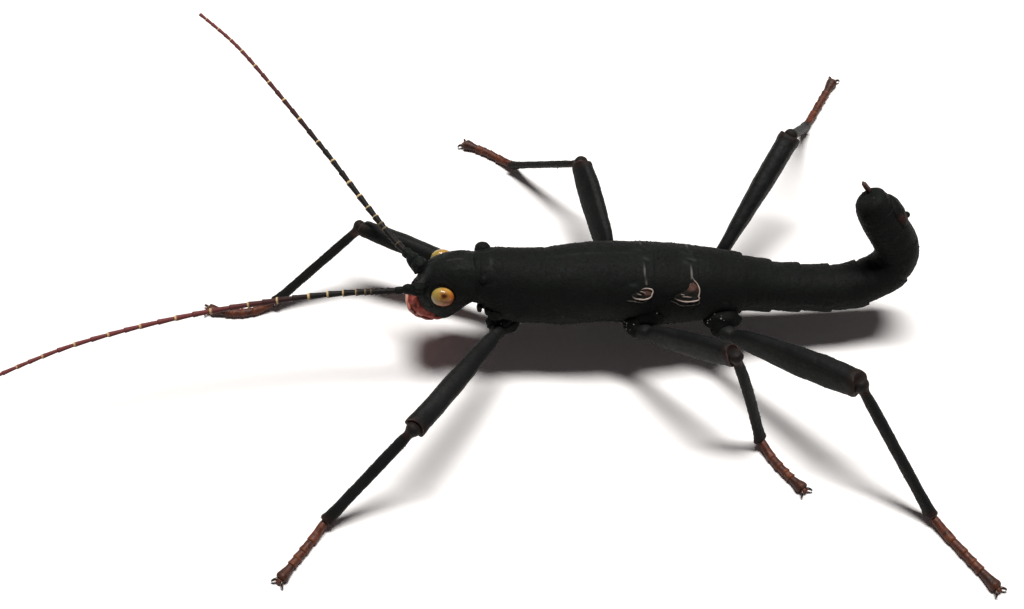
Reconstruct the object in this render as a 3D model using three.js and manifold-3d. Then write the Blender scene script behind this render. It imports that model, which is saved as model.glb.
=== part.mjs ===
// A black, golden-eyed stick insect, adult male, standing with its tail curled up over its back.
// Millimetres, +Z up. The head points to -X and the insect's right side to +Y.
import * as THREE from "three";
import { mergeVertices } from "three/addons/utils/BufferGeometryUtils.js";
import Module from "manifold-3d";

const wasm = await Module();
wasm.setup();
const { degToRad, lerp, smoothstep } = THREE.MathUtils;

// Driving dimensions
const gap = 0.04; // clear space between two plates that touch in life
const headHeight = 7.22; // height of the body's axis at the front of the head
const pitch = degToRad(6.4); // the axis falls towards the tail
const lean = degToRad(8); // the back leans to the insect's right
const headLength = 4.9;
const neckLength = 0.3;
const tail = { start: 30, lean: degToRad(12), twistFrom: 24, step: 0.1 };
const trunkSides = 16;
const plateStep = 1.6; // the longest wait between two outlines along a plate
const legSides = 10;
const plateTuck = 0.035; // share of the radius by which a plate's front edge is drawn in
const plateFlare = 0.025; // share by which its rear edge stands out

// Where each plate of the trunk ends, measured along the body's axis from the front of the head
const plateEnds = {
  prothorax: 9.9,
  mesothorax: 17.55,
  metathorax: 20.75,
  abdomen_1: 24.4,
  abdomen_2: 26.7,
  abdomen_3: 28.9,
  abdomen_4: 31.2,
  abdomen_5: 33.7,
  abdomen_6: 36.1,
  abdomen_7: 38.3,
  abdomen_8: 39.8,
  abdomen_9: 41.6,
  abdomen_10: 42.9,
};

// The curl of the tail: place on the axis, turn of the axis in degrees
const tailTurn = profile([
  [30, 0],
  [32, 7],
  [33.5, 20],
  [35, 42],
  [36.5, 76],
  [38, 112],
  [39.5, 126],
  [41, 126],
  [43.9, 133],
]);

// Trunk: place on the axis, half width, half height, rise of the middle above the axis
const trunkShape = profile([
  [4.9, 1.75, 1.75, 0.1],
  [5.7, 2.2, 2.15, -0.02],
  [8, 2.35, 2.3, -0.1],
  [9.9, 2.5, 2.45, -0.2],
  [11.4, 2.78, 2.64, -0.15],
  [14.2, 2.98, 2.73, 0.1],
  [17.5, 2.95, 2.64, 0.25],
  [20.5, 2.75, 2.4, 0.38],
  [23, 2.42, 2.15, 0.43],
  [25, 2.08, 1.92, 0.27],
  [27, 1.9, 1.7, 0.08],
  [30, 1.8, 1.6, 0.03],
  [33, 1.74, 1.58, 0.06],
  [34.5, 1.7, 1.52, 0.16],
  [36, 1.68, 1.5, 0.06],
  [38, 1.62, 1.56, -0.05],
  [40, 1.56, 1.48, 0.1],
  [41.4, 1.46, 1.36, 0.17],
  [42.3, 1.3, 1.22, 0.16],
  [42.9, 1.02, 0.92, 0.06],
]);

// Head: place on the axis, half width, height of the crown, height of the underside
const headShape = profile([
  [0.25, 0.6, -1.5, -2.6],
  [0.45, 0.8, -1.3, -2.9],
  [0.85, 1.15, -0.2, -3.25],
  [1.3, 1.48, 0.62, -3.42],
  [1.8, 1.77, 1.22, -3.5],
  [2.55, 2, 1.6, -3.48],
  [3.3, 2.05, 1.85, -3.22],
  [3.8, 1.98, 1.93, -2.68],
  [4.3, 1.84, 1.9, -2.1],
  [4.9, 1.62, 1.8, -1.6],
]);
const eye = { along: 2.63, out: 1.97, up: -0.06, length: 0.82, depth: 0.6, height: 0.74, turn: degToRad(6) };
const mouth = {
  line: [[0.45, -1.5], [0.34, -1.95], [0.55, -2.6], [1.1, -3.08], [1.8, -3.27], [2.5, -3.27]],
  halfWidth: 1.12,
  halfThickness: 0.3,
};

// Antennae: the knots of each feeler's line, from its socket in the head out to its tip
const antennae = {
  left: [[0.9, -1.25, 7.45], [-0.7, -1.45, 7.42], [-6.58, -1.46, 7.15], [-14.32, -2.18, 6.7], [-23.99, -4.32, 6.05], [-31, -7.6, 5.75]],
  right: [[0.95, 0.95, 7.25], [-0.85, 3.25, 7.3], [-5.71, 11.34, 7.32], [-12.31, 21.95, 7.12], [-17.39, 28.47, 6.92]],
};
const feeler = { scape: 1.1, pedicel: 0.6, scapeRadius: 0.5, pedicelRadius: 0.35, baseRadius: 0.29, tipRadius: 0.25 };
const tubercle = 0.58; // radius of the knob on the head that holds a feeler's socket

// Legs: root is the hip in the body's frame (along, out, up); lengths run from joint to joint;
// thick and deep are the thigh's half width and half height, shin the same pair for the tibia
const legPairs = {
  fore: { root: [7.1, 2.05, -2.8], femur: 11.35, tibia: 9.15, tarsus: 5.3, thick: 0.78, deep: 0.74, shin: [0.42, 0.36] },
  mid: { root: [16.15, 3.3, -1.6], femur: 8.95, tibia: 8.6, tarsus: 4.95, thick: 0.6, deep: 0.94, shin: [0.46, 0.28] },
  hind: { root: [22.85, 3.25, -1.45], femur: 11.85, tibia: 10.95, tarsus: 6.6, thick: 0.76, deep: 1.06, shin: [0.35, 0.41] },
};
// Stance, in degrees: swing is forward of straight out, lift above level; shift moves a hip along the body
const stance = {
  fore_left: { shift: 0, femur: [33.9, 7.8], tibia: 57.1, tarsus: 35.3 },
  fore_right: { shift: 0, femur: [66.6, 10.6], tibia: 113.3, tarsus: 92.8 },
  mid_left: { shift: 0.65, femur: [-47.3, 28.4], tibia: -51.5, tarsus: -32.2 },
  mid_right: { shift: -0.65, femur: [11.7, 13.2], tibia: 49.5, tarsus: 54.6 },
  hind_left: { shift: 0, femur: [-46, 20.6], tibia: -39.5, tarsus: -31.5 },
  hind_right: { shift: 0.35, femur: [-37.2, 24.5], tibia: -24.6, tarsus: -31 },
};
const ankleHeight = 0.5;
const clawLength = 0.3; // reach of the claws past the last joint of a foot
const clawRoot = 0.35; // and how far back they begin inside it
const clawSpread = 0.9; // how far they part sideways for each step ahead
const soleHeight = 0.27; // height of the foot's middle line over the floor
const articleEnds = [0.34, 0.52, 0.65, 0.76, 1]; // the five joints of a foot, as shares of its length

// Vestigial wings: place on the axis, angle down from the top of the back, half length, half height
const wings = {
  forewing: { along: 16.55, angle: degToRad(63), length: 0.9, height: 0.62 },
  hindwing: { along: 19.75, angle: degToRad(62), length: 1.1, height: 0.82 },
};
const wingStand = 0.42; // how far a wing stands out from the plate under it

const material = (name, color, roughness) =>
  Object.assign(new THREE.MeshStandardMaterial({ color, roughness }), { name });
const finishes = {
  cuticle: material("cuticle", 0x1c1f1c, 0.6),
  limb: material("limb", 0x1d1c1a, 0.55),
  foot: material("foot", 0x6a3524, 0.5),
  eye: material("eye", 0xd8962c, 0.25),
  mouthparts: material("mouthparts", 0xb8493a, 0.4),
  feeler: material("feeler", 0x2a1b16, 0.5),
  wing: material("wing", 0x2b2422, 0.45),
  membrane: material("membrane", 0x24211f, 0.7),
};

// Smooth reading of rows [place, value, ...] at any place between the first and the last
function profile(rows) {
  const places = rows.map(([place]) => place);
  const values = rows.flatMap(([, ...rest]) => rest);
  const size = rows[0].length - 1;
  const curve = new THREE.CubicInterpolant(places, values, size, new Float64Array(size));
  return (place) => Array.from(curve.evaluate(place));
}

const vector = (x, y, z) => new THREE.Vector3(x, y, z);

// The curl's middle line, walked in short steps from where it leaves the straight axis
const tailPath = [vector(tail.start, 0, 0)];
for (let along = tail.start + tail.step / 2; along < 46; along += tail.step) {
  const turn = degToRad(tailTurn(along)[0]);
  tailPath.push(tailPath.at(-1).clone().add(vector(Math.cos(turn), 0, Math.sin(turn)).multiplyScalar(tail.step)));
}

// A frame on the body's axis: straight to the tail, then up and round the curl
function bodyAxis(along) {
  const steps = Math.max(along - tail.start, 0) / tail.step;
  const turn = steps > 0 ? degToRad(tailTurn(along)[0]) : 0;
  const last = tailPath[Math.floor(steps)].clone().lerp(tailPath[Math.ceil(steps)], steps % 1);
  const tilt = tail.lean * smoothstep(along, tail.twistFrom, tail.start + 3);
  const side = vector(0, Math.cos(tilt), -Math.sin(tilt));
  const back = vector(0, Math.sin(tilt), Math.cos(tilt));
  const ahead = vector(Math.cos(turn), 0, 0).addScaledVector(back, Math.sin(turn));
  const up = vector(-Math.sin(turn), 0, 0).addScaledVector(back, Math.cos(turn));
  const middle = vector(Math.min(along, last.x), 0, 0).addScaledVector(back, last.z);
  return { middle, ahead, side, up };
}

// A frame from a point and two directions, with side, up and ahead square to each other
function frameAt(middle, ahead, upHint) {
  const side = upHint.clone().cross(ahead).normalize();
  return { middle, ahead, side, up: ahead.clone().cross(side).normalize() };
}

// A closed rounded outline round a frame; power 2 is an ellipse and more is squarer
function ring({ middle, side, up }, halfWidth, halfHeight, rise = 0, sides = legSides, power = 2) {
  return Array.from({ length: sides }, (_, k) => {
    const turn = (2 * Math.PI * (k + 0.5)) / sides;
    const round = (value) => Math.sign(value) * Math.abs(value) ** (2 / power);
    return middle
      .clone()
      .addScaledVector(side, halfWidth * round(Math.cos(turn)))
      .addScaledVector(up, rise + halfHeight * round(Math.sin(turn)));
  });
}

// A closed skin through rings in order, each end shut by a fan about its middle or about a given tip
function loft(rings, startTip, endTip) {
  const sides = rings[0].length;
  const middleOf = (points) =>
    points.reduce((sum, point) => sum.add(point), vector(0, 0, 0)).divideScalar(sides);
  const points = [...rings.flat(), startTip ?? middleOf(rings[0]), endTip ?? middleOf(rings.at(-1))];
  const lastRing = (rings.length - 1) * sides;
  const faces = [];
  for (let k = 0; k < sides; k++) {
    const next = (k + 1) % sides;
    for (let from = 0; from < lastRing; from += sides) {
      const to = from + sides;
      faces.push(from + k, from + next, to + next, from + k, to + next, to + k);
    }
    faces.push(points.length - 2, next, k, points.length - 1, lastRing + k, lastRing + next);
  }
  return new THREE.BufferGeometry().setFromPoints(points).setIndex(faces);
}

function toSolid(geometry) {
  const bare = geometry.clone();
  bare.deleteAttribute("normal");
  bare.deleteAttribute("uv");
  const merged = mergeVertices(bare, 1e-4);
  const vertProperties = merged.attributes.position.array;
  return new wasm.Manifold(
    new wasm.Mesh({ numProp: 3, vertProperties, triVerts: new Uint32Array(merged.index.array) }),
  );
}

function toGeometry(solid) {
  const { vertProperties, triVerts } = solid.getMesh();
  return new THREE.BufferGeometry()
    .setAttribute("position", new THREE.BufferAttribute(vertProperties, 3))
    .setIndex(new THREE.BufferAttribute(triVerts, 1));
}

// The geometry less every cutter, each cutter given as a geometry in the same frame
function cut(geometry, ...cutters) {
  return toGeometry(cutters.reduce((solid, cutter) => solid.subtract(toSolid(cutter)), toSolid(geometry)));
}

function join(...geometries) {
  return toGeometry(geometries.map(toSolid).reduce((all, solid) => all.add(solid)));
}

const ball = (radius, [x, y, z], [sx, sy, sz] = [1, 1, 1], detail = 1) =>
  new THREE.IcosahedronGeometry(radius, detail).scale(sx, sy, sz).translate(x, y, z);

function add(group, name, geometry, finish) {
  const mesh = new THREE.Mesh(geometry, finish);
  mesh.name = name;
  group.add(mesh);
}

const insect = new THREE.Group();
const body = new THREE.Group();
body.position.set(0, 0, headHeight);
body.rotation.set(-lean, pitch, 0, "YXZ");
body.updateMatrix();
insect.add(body);

// Trunk: one plate of the body between two places on the axis, grown all over by the given amount
function plate(from, to, grow = 0) {
  const count = Math.max(3, Math.round((to - from) / plateStep));
  const rings = [];
  for (let k = 0; k <= count; k++) {
    const share = k / count;
    const along = lerp(from + gap / 2 - grow, to - gap / 2 + grow, share);
    const [halfWidth, halfHeight, rise] = trunkShape(along);
    const edge = 1 - plateTuck * (k === 0) + plateFlare * (k === count);
    rings.push(ring(bodyAxis(along), halfWidth * edge + grow, halfHeight * edge + grow, rise, trunkSides));
  }
  return loft(rings);
}

const plateSpans = {};
Object.entries(plateEnds).reduce((from, [name, to]) => {
  plateSpans[name] = [from, to];
  return to;
}, headLength + neckLength);

// Front corners of the prothorax carry a round boss above and a small spine below on each side
const corner = { along: 5.5, bossOut: 1.57, bossUp: 1.33, boss: 0.5, spineOut: 1.87, spineUp: -1.05, spine: 0.26 };

for (const [name, [from, to]] of Object.entries(plateSpans)) {
  let geometry = plate(from, to);
  if (name === "prothorax") {
    for (const side of [-1, 1]) {
      geometry = join(
        geometry,
        ball(corner.boss, [corner.along, side * corner.bossOut, corner.bossUp]),
        ball(corner.spine, [corner.along, side * corner.spineOut, corner.spineUp], [0.9, 1.3, 0.9], 0),
      );
    }
  }
  add(body, name, geometry, finishes.cuticle);
}

// Neck: the soft collar between the head and the prothorax
const neckRings = [headLength + gap, headLength + neckLength - gap / 2].map((along) =>
  ring(bodyAxis(along), 1.45, 1.62, 0.12, trunkSides),
);
add(body, "neck", loft(neckRings), finishes.membrane);

// Head capsule, with sockets for the eyes, the mouth and the feelers
const headSteps = [0.28, 0.5, 0.85, 1.25, 1.8, 2.5, 3.2, 3.7, 4.2, headLength];
const headRings = headSteps.map((along) => {
  const [halfWidth, crown, chin] = headShape(along);
  return ring(bodyAxis(along), halfWidth, (crown - chin) / 2, (crown + chin) / 2, trunkSides, 2.15);
});
const muzzle = vector(0.24, 0, -2);

function eyeball(side, grow = 0) {
  return new THREE.SphereGeometry(1, 12, 7)
    .rotateX(Math.PI / 2)
    .scale(eye.length + grow, eye.depth + grow, eye.height + grow)
    .rotateZ(side * eye.turn)
    .translate(eye.along, side * eye.out, eye.up);
}

function jaws(grow = 0) {
  const line = new THREE.CatmullRomCurve3(mouth.line.map(([along, up]) => vector(along, 0, up)));
  const steps = 6;
  const rings = Array.from({ length: steps + 1 }, (_, k) => {
    const share = k / steps;
    const end = [0.5, 0.85][k] ?? (k === steps ? 0.75 : 1);
    const frame = frameAt(line.getPoint(share), line.getTangent(share), vector(0, 1, 0));
    return ring(frame, mouth.halfThickness + grow, mouth.halfWidth * end + grow, 0, 12, 2.6);
  });
  const reach = (share, sign) =>
    line.getPoint(share).addScaledVector(line.getTangent(share), sign * (0.12 + grow));
  return loft(rings, reach(0, -1), reach(1, 1));
}

// Feelers: knots are given in the insect's own frame, so the head's sockets take them into the body's
const toBody = body.matrix.clone().invert();
function feelerLine(side) {
  return new THREE.CatmullRomCurve3(antennae[side].map((knot) => vector(...knot)), false, "centripetal");
}

// A round piece of a feeler between two distances from its socket, as [distance, radius] rows
function feelerPiece(side, rows, grow = 0) {
  const line = feelerLine(side);
  const length = line.getLength();
  const rings = rows.map(([distance, radius]) => {
    const share = Math.min(distance / length, 1);
    const frame = frameAt(line.getPointAt(share), line.getTangentAt(share), vector(0, 0, 1));
    return ring(frame, radius + grow, radius + grow, 0, 8);
  });
  return loft(rings);
}

function feelerBase(side, grow = 0) {
  const { scape, pedicel, scapeRadius, pedicelRadius } = feeler;
  const end = scape + pedicel;
  return feelerPiece(
    side,
    [
      [0, scapeRadius],
      [scape - 0.25, scapeRadius * 0.95],
      [scape, scapeRadius * 0.72],
      [scape + 0.3, pedicelRadius],
      [end + grow, pedicelRadius * 0.85],
    ],
    grow,
  );
}

const headCutters = [jaws(gap)];
const knobs = [];
for (const side of [-1, 1]) headCutters.push(eyeball(side, gap));
for (const side of ["left", "right"]) {
  headCutters.push(feelerBase(side, gap).applyMatrix4(toBody));
  knobs.push(ball(tubercle, antennae[side][0]).applyMatrix4(toBody));
}
add(body, "head", cut(join(loft(headRings, muzzle), ...knobs), ...headCutters), finishes.cuticle);
add(body, "mouth", jaws(), finishes.mouthparts);

for (const [name, side] of [["left", -1], ["right", 1]]) {
  add(body, `eye_${name}`, eyeball(side), finishes.eye);
  add(insect, `antenna_base_${name}`, feelerBase(name), finishes.feeler);
  const start = feeler.scape + feeler.pedicel + gap;
  const length = feelerLine(name).getLength();
  const steps = 11;
  const rows = Array.from({ length: steps + 1 }, (_, k) => [
    lerp(start, length, k / steps),
    lerp(feeler.baseRadius, feeler.tipRadius, k / steps),
  ]);
  add(insect, `antenna_${name}`, feelerPiece(name, rows), finishes.feeler);
}

// Wings: a low lobe on the flank at the rear of the second and third thorax plates
function wing({ along, angle, length, height }, side) {
  const { middle } = bodyAxis(along);
  const [halfWidth, halfHeight, rise] = trunkShape(along);
  const out = Math.sin(angle);
  const up = Math.cos(angle);
  const lobe = new THREE.SphereGeometry(1, 10, 7).scale(length, height, wingStand);
  const normal = vector(0, (side * out) / halfWidth, up / halfHeight).normalize();
  const { side: across } = frameAt(middle, normal, vector(-1, 0, 0));
  const basis = new THREE.Matrix4().makeBasis(vector(1, 0, 0), normal.clone().cross(vector(1, 0, 0)), normal);
  basis.setPosition(middle.x, side * halfWidth * out, rise + halfHeight * up);
  return lobe.applyMatrix4(basis);
}

for (const [name, shape] of Object.entries(wings)) {
  for (const [word, side] of [["left", -1], ["right", 1]]) {
    const under = Object.values(plateSpans)
      .filter(([from, to]) => to > shape.along - 2 && from < shape.along + 2)
      .map(([from, to]) => plate(from, to, gap));
    add(body, `${name}_${word}`, cut(wing(shape, side), ...under), finishes.wing);
  }
}

// Tail end: the swollen plate under the ninth ring and the two short cerci
const tailPlates = ["abdomen_8", "abdomen_9", "abdomen_10"].map((name) => plate(...plateSpans[name], gap));
const poculum = profile([
  [39.2, 0.6, 0.35],
  [39.8, 1.1, 0.62],
  [40.6, 1.25, 0.7],
  [41.4, 1.1, 0.6],
  [41.9, 0.6, 0.4],
]);
const poculumRings = [39.2, 39.7, 40.5, 41.4, 41.9].map((along) => {
  const [halfWidth, halfHeight] = poculum(along);
  return ring(bodyAxis(along), halfWidth, halfHeight, -0.9, 8);
});
add(body, "subgenital_plate", cut(loft(poculumRings), ...tailPlates), finishes.cuticle);

const cercus = { from: 42.3, to: 43.95, out: 0.38, up: 0.05, root: 0.3, tip: 0.16 };
for (const [word, side] of [["left", -1], ["right", 1]]) {
  const frames = [cercus.from, cercus.to].map((along) => {
    const frame = bodyAxis(along);
    frame.middle.addScaledVector(frame.side, side * cercus.out).addScaledVector(frame.up, cercus.up);
    return frame;
  });
  const geometry = loft([ring(frames[0], cercus.root, cercus.root, 0, 8), ring(frames[1], cercus.tip, cercus.tip, 0, 8)]);
  add(body, `cercus_${word}`, cut(geometry, ...tailPlates), finishes.foot);
}

// Legs
function heading(side, swing, lift) {
  return vector(-Math.sin(swing) * Math.cos(lift), side * Math.cos(swing) * Math.cos(lift), Math.sin(lift));
}

// A straight run of a leg from a point, as rows [distance, half width, half height]
function limb(start, ahead, upHint, rows, grow = 0) {
  const frame = frameAt(start, ahead, upHint);
  const rings = rows.map(([distance, halfWidth, halfHeight], k) => {
    const stretch = k === 0 ? -grow : k === rows.length - 1 ? grow : 0;
    const middle = start.clone().addScaledVector(ahead, distance + stretch);
    return ring({ ...frame, middle }, halfWidth + grow, halfHeight + grow);
  });
  return loft(rings);
}

function foot(ankle, ahead, floor, length) {
  const side = vector(0, 0, 1).cross(ahead);
  const rings = [];
  const at = (distance, halfWidth, halfHeight, height) => {
    const middle = ankle.clone().addScaledVector(ahead, distance).setZ(floor + height);
    const points = ring({ middle, side, up: vector(0, 0, 1) }, halfWidth, halfHeight, 0, 8);
    rings.push(points.map((point) => point.setZ(Math.max(point.z, floor))));
  };
  let start = 0.12;
  for (const [k, share] of articleEnds.entries()) {
    const end = (length - clawLength) * share;
    const lift = k === 0 ? ankleHeight : soleHeight;
    at(start + (k ? 0.08 : 0), 0.24, 0.25, lift);
    at(end - 0.12, 0.32, 0.3, soleHeight);
    start = end;
  }
  const body = loft(rings);
  const claws = [-1, 1].map((spread) => {
    const line = ahead.clone().addScaledVector(side, clawSpread * spread).normalize();
    const root = ankle.clone().addScaledVector(ahead, length - clawLength - clawRoot).setZ(floor + soleHeight);
    root.addScaledVector(side, 0.12 * spread);
    const rows = [[0, 0.17, 0.2, 0], [0.45, 0.14, 0.15, 0.1], [0.82, 0.07, 0.08, -0.04]];
    const hooks = rows.map(([distance, halfWidth, halfHeight, rise]) => {
      const middle = root.clone().addScaledVector(line, distance);
      return ring({ middle, side: vector(0, 0, 1).cross(line), up: vector(0, 0, 1) }, halfWidth, halfHeight, rise, 5);
    });
    return loft(hooks);
  });
  return join(body, ...claws);
}

function leg(pairName, sideName) {
  const { root, femur, tibia, tarsus, thick, deep, shin } = legPairs[pairName];
  const [shinWide, shinDeep] = shin;
  const name = `${pairName}_${sideName}`;
  const pose = stance[name];
  const side = sideName === "left" ? -1 : 1;
  const hip = vector(root[0] + pose.shift, side * root[1], root[2]).applyMatrix4(body.matrix);
  const origin = vector(0, 0, 0);
  const floor = -hip.z;

  const femurAhead = heading(side, ...pose.femur.map(degToRad));
  const knee = femurAhead.clone().multiplyScalar(femur);
  const drop = Math.asin((knee.z - floor - ankleHeight) / tibia);
  const tibiaAhead = heading(side, degToRad(pose.tibia), -drop);
  const ankle = knee.clone().addScaledVector(tibiaAhead, tibia);
  const footAhead = heading(side, degToRad(pose.tarsus), 0);
  const bendUp = tibiaAhead.clone().negate();

  const group = new THREE.Group();
  group.position.copy(hip);
  insect.add(group);

  const trunkHere = Object.values(plateSpans)
    .filter(([from, to]) => to > root[0] - 3 && from < root[0] + 3)
    .map(([from, to]) => plate(from, to, gap).applyMatrix4(body.matrix).translate(-hip.x, -hip.y, -hip.z));
  const socket = vector(root[0], side * root[1] * 0.5, root[2] * 0.55).applyMatrix4(body.matrix).sub(hip);
  const coxaAhead = socket.clone().negate().normalize();
  const coxaLength = socket.length();
  const coxa = (grow) =>
    limb(socket, coxaAhead, vector(1, 0, 0), [
      [0, 0.9, 0.9],
      [coxaLength * 0.6, 0.92, 0.92],
      [coxaLength, 0.74, 0.74],
      [coxaLength + 0.35, 0.42, 0.42],
    ], grow);
  add(group, `coxa_${name}`, cut(coxa(0), ...trunkHere), finishes.cuticle);

  const thigh = (grow) =>
    limb(origin, femurAhead, bendUp, [
      [0, 0.48, 0.48],
      [0.6, 0.55, 0.57],
      [1.15, 0.48, 0.5],
      [1.8, thick * 0.68, deep * 0.68],
      [femur * 0.45, thick * 0.88, deep * 0.94],
      [femur * 0.75, thick, deep],
      [femur - 0.9, thick * 1.04, deep * 0.88],
      [femur - 0.28, thick * 0.98, deep * 0.74],
    ], grow);
  add(group, `femur_${name}`, cut(thigh(0), coxa(gap), ...trunkHere), finishes.limb);

  const shank = limb(knee, tibiaAhead, femurAhead, [
    [-0.35, 0.28, 0.28],
    [-0.1, 0.44, 0.46],
    [0.35, 0.44, 0.46],
    [0.9, shinWide, shinDeep],
    [tibia * 0.6, shinWide, shinDeep],
    [tibia - 0.5, shinWide * 1.14, shinDeep * 1.14],
    [tibia - 0.1, shinWide * 1.08, shinDeep * 1.04],
  ]);
  add(group, `tibia_${name}`, cut(shank, thigh(gap)), finishes.limb);

  const shankEnd = limb(knee, tibiaAhead, femurAhead, [
    [tibia - 1.2, shinWide * 1.14, shinDeep * 1.14],
    [tibia - 0.1, shinWide * 1.14, shinDeep * 1.14],
  ], gap);
  add(group, `tarsus_${name}`, cut(foot(ankle, footAhead, floor, tarsus), shankEnd), finishes.foot);
}

for (const pairName of Object.keys(legPairs)) {
  for (const sideName of ["left", "right"]) leg(pairName, sideName);
}

// The part stands on z = 0 with its origin under the middle of its box
const box = new THREE.Box3().setFromObject(insect, true);
const centre = box.getCenter(vector(0, 0, 0));
insect.position.set(-centre.x, -centre.y, -box.min.z);

const stickInsect = new THREE.Group();
stickInsect.add(insect);
export default stickInsect;
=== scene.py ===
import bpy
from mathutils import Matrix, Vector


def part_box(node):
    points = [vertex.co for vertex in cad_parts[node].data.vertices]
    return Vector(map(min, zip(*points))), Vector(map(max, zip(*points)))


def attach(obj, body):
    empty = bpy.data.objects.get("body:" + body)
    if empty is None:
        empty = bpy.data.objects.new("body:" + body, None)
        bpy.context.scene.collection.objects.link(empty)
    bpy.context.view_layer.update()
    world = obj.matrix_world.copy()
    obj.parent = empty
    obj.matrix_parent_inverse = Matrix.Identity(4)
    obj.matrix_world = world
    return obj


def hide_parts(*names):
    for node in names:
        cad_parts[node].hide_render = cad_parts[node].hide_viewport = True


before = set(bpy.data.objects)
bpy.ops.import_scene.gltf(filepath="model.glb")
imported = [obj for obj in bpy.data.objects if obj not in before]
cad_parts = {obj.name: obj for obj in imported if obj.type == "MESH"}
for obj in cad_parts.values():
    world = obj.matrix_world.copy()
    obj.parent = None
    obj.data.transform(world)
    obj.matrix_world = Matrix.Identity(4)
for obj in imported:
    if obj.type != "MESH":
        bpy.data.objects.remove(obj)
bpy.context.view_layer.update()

import math

import bmesh
import bpy
import numpy as np
from mathutils import Matrix, Vector, noise

print("frame loaded,", len(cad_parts), "nodes")

# everything is worked out in millimetres and made metres when a mesh is stored
milli = 0.001
stance = {"headHeight": 7.22, "pitch": 6.4, "lean": 8.0, "headLength": 4.9}
tail = {"start": 30.0, "lean": 12.0, "twistFrom": 24.0, "step": 0.1, "steps": 161}
acrossWay = np.array([0, 1.0, 0])
upWay = np.array([0, 0, 1.0])


def rowReader(rows):
    # smooth reading of rows [place, value, ...] between the first place and the last
    table = np.array(rows, float)
    places, values = table[:, 0], table[:, 1:]
    last = len(places) - 1

    def read(place):
        x = min(max(float(place), places[0]), places[-1])
        i = int(min(max(np.searchsorted(places, x, side="right"), 1), last))
        t0, t1 = places[i - 1], places[i]
        before, tBefore = (i - 2, places[i - 2]) if i >= 2 else (i, t1)
        after, tAfter = (i + 1, places[i + 1]) if i < last else (i - 1, t0)
        span, low, high = t1 - t0, values[i - 1], values[i]
        p = (x - t0) / span
        bendIn = (low - values[before]) * p * (1 - p) ** 2 / (t0 - tBefore)
        bendOut = (high - values[after]) * p * p * (1 - p) / (tAfter - t1)
        return low + (high - low) * (0.5 * p + 1.5 * p * p - p**3) + 0.5 * span * (bendIn + bendOut)

    return read


def smooth(x, low, high):
    t = np.clip((x - low) / (high - low), 0.0, 1.0)
    return t * t * (3 - 2 * t)


def bump(x, middle, width):
    return np.exp(-(((x - middle) / width) ** 2))


def unit(v):
    return v / np.linalg.norm(v)


def squareTo(ahead, hint):
    side = unit(np.cross(hint, ahead))
    return side, unit(np.cross(ahead, side))


# where the body's own axis lies in the frame
def turnMatrix():
    pitch, lean = math.radians(stance["pitch"]), math.radians(stance["lean"])
    cl, sl, cp, sp = math.cos(lean), math.sin(lean), math.cos(pitch), math.sin(pitch)
    about = np.array([[1, 0, 0], [0, cl, sl], [0, -sl, cl]])
    down = np.array([[cp, 0, sp], [0, 1, 0], [-sp, 0, cp]])
    return down @ about


bodyTurn = turnMatrix()
headLift = np.array([0, 0, stance["headHeight"]])
eyePlace = {"along": 2.63, "out": 1.97, "up": -0.06}


def boxMiddle(node):
    low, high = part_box(node)
    return np.array((low + high) * 0.5) / milli


# the two eyes say how far the frame's origin is from the body's
eyesSeen = (boxMiddle("eye_left") + boxMiddle("eye_right")) * 0.5
eyesOwn = bodyTurn @ np.array([eyePlace["along"], 0, eyePlace["up"]]) + headLift
frameShift = eyesSeen - eyesOwn
floorZ = frameShift[2]
print("origin of the insect in the frame, mm:", np.round(frameShift, 3))


def fromBody(points):
    return np.asarray(points) @ bodyTurn.T + headLift + frameShift


def toBody(point):
    # from the insect's own upright frame to the body's tilted one
    return (np.asarray(point) - headLift) @ bodyTurn


tailTurn = rowReader([
    [30, 0], [32, 7], [33.5, 20], [35, 42], [36.5, 76], [38, 112], [39.5, 126], [41, 126], [43.9, 133],
])
tailPath = [np.array([tail["start"], 0.0, 0.0])]
for k in range(tail["steps"]):
    turn = math.radians(tailTurn(tail["start"] + tail["step"] * (k + 0.5))[0])
    tailPath.append(tailPath[-1] + tail["step"] * np.array([math.cos(turn), 0, math.sin(turn)]))


def bodyAxis(along):
    # middle, side and up on the body's axis, straight at first and then round the tail's curl
    steps = max(along - tail["start"], 0) / tail["step"]
    turn = math.radians(tailTurn(along)[0]) if steps > 0 else 0.0
    k = int(steps)
    last = tailPath[k] + (tailPath[k + 1] - tailPath[k]) * (steps - k)
    tilt = math.radians(tail["lean"]) * float(smooth(along, tail["twistFrom"], tail["start"] + 3))
    side = np.array([0, math.cos(tilt), -math.sin(tilt)])
    back = np.array([0, math.sin(tilt), math.cos(tilt)])
    up = np.array([-math.sin(turn), 0, 0]) + back * math.cos(turn)
    return np.array([min(along, last[0]), 0, 0]) + back * last[2], side, up


def wobble(points, scale, seed):
    # smooth noise from -1 to 1 at each point, features about 1/scale mm across
    shift = Vector((seed * 7.3, seed * 3.1, -seed * 5.7))
    return np.array([noise.noise(Vector(p) * scale + shift) for p in points])


def grains(points, scale, seed):
    # small rounded bumps, 1 at the middle of each and 0 between them
    shift = Vector((seed * 2.9, -seed * 4.3, seed * 6.1))
    near = np.array([noise.voronoi(Vector(p) * scale + shift)[0][0] for p in points])
    return np.clip(1 - near * 1.7, 0, 1) ** 1.5


# rings, tubes and lumps: each mesh is a pair of points and faces until it is stored
def ringAngles(sides):
    return 2 * np.pi * (np.arange(sides) + 0.5) / sides


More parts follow.
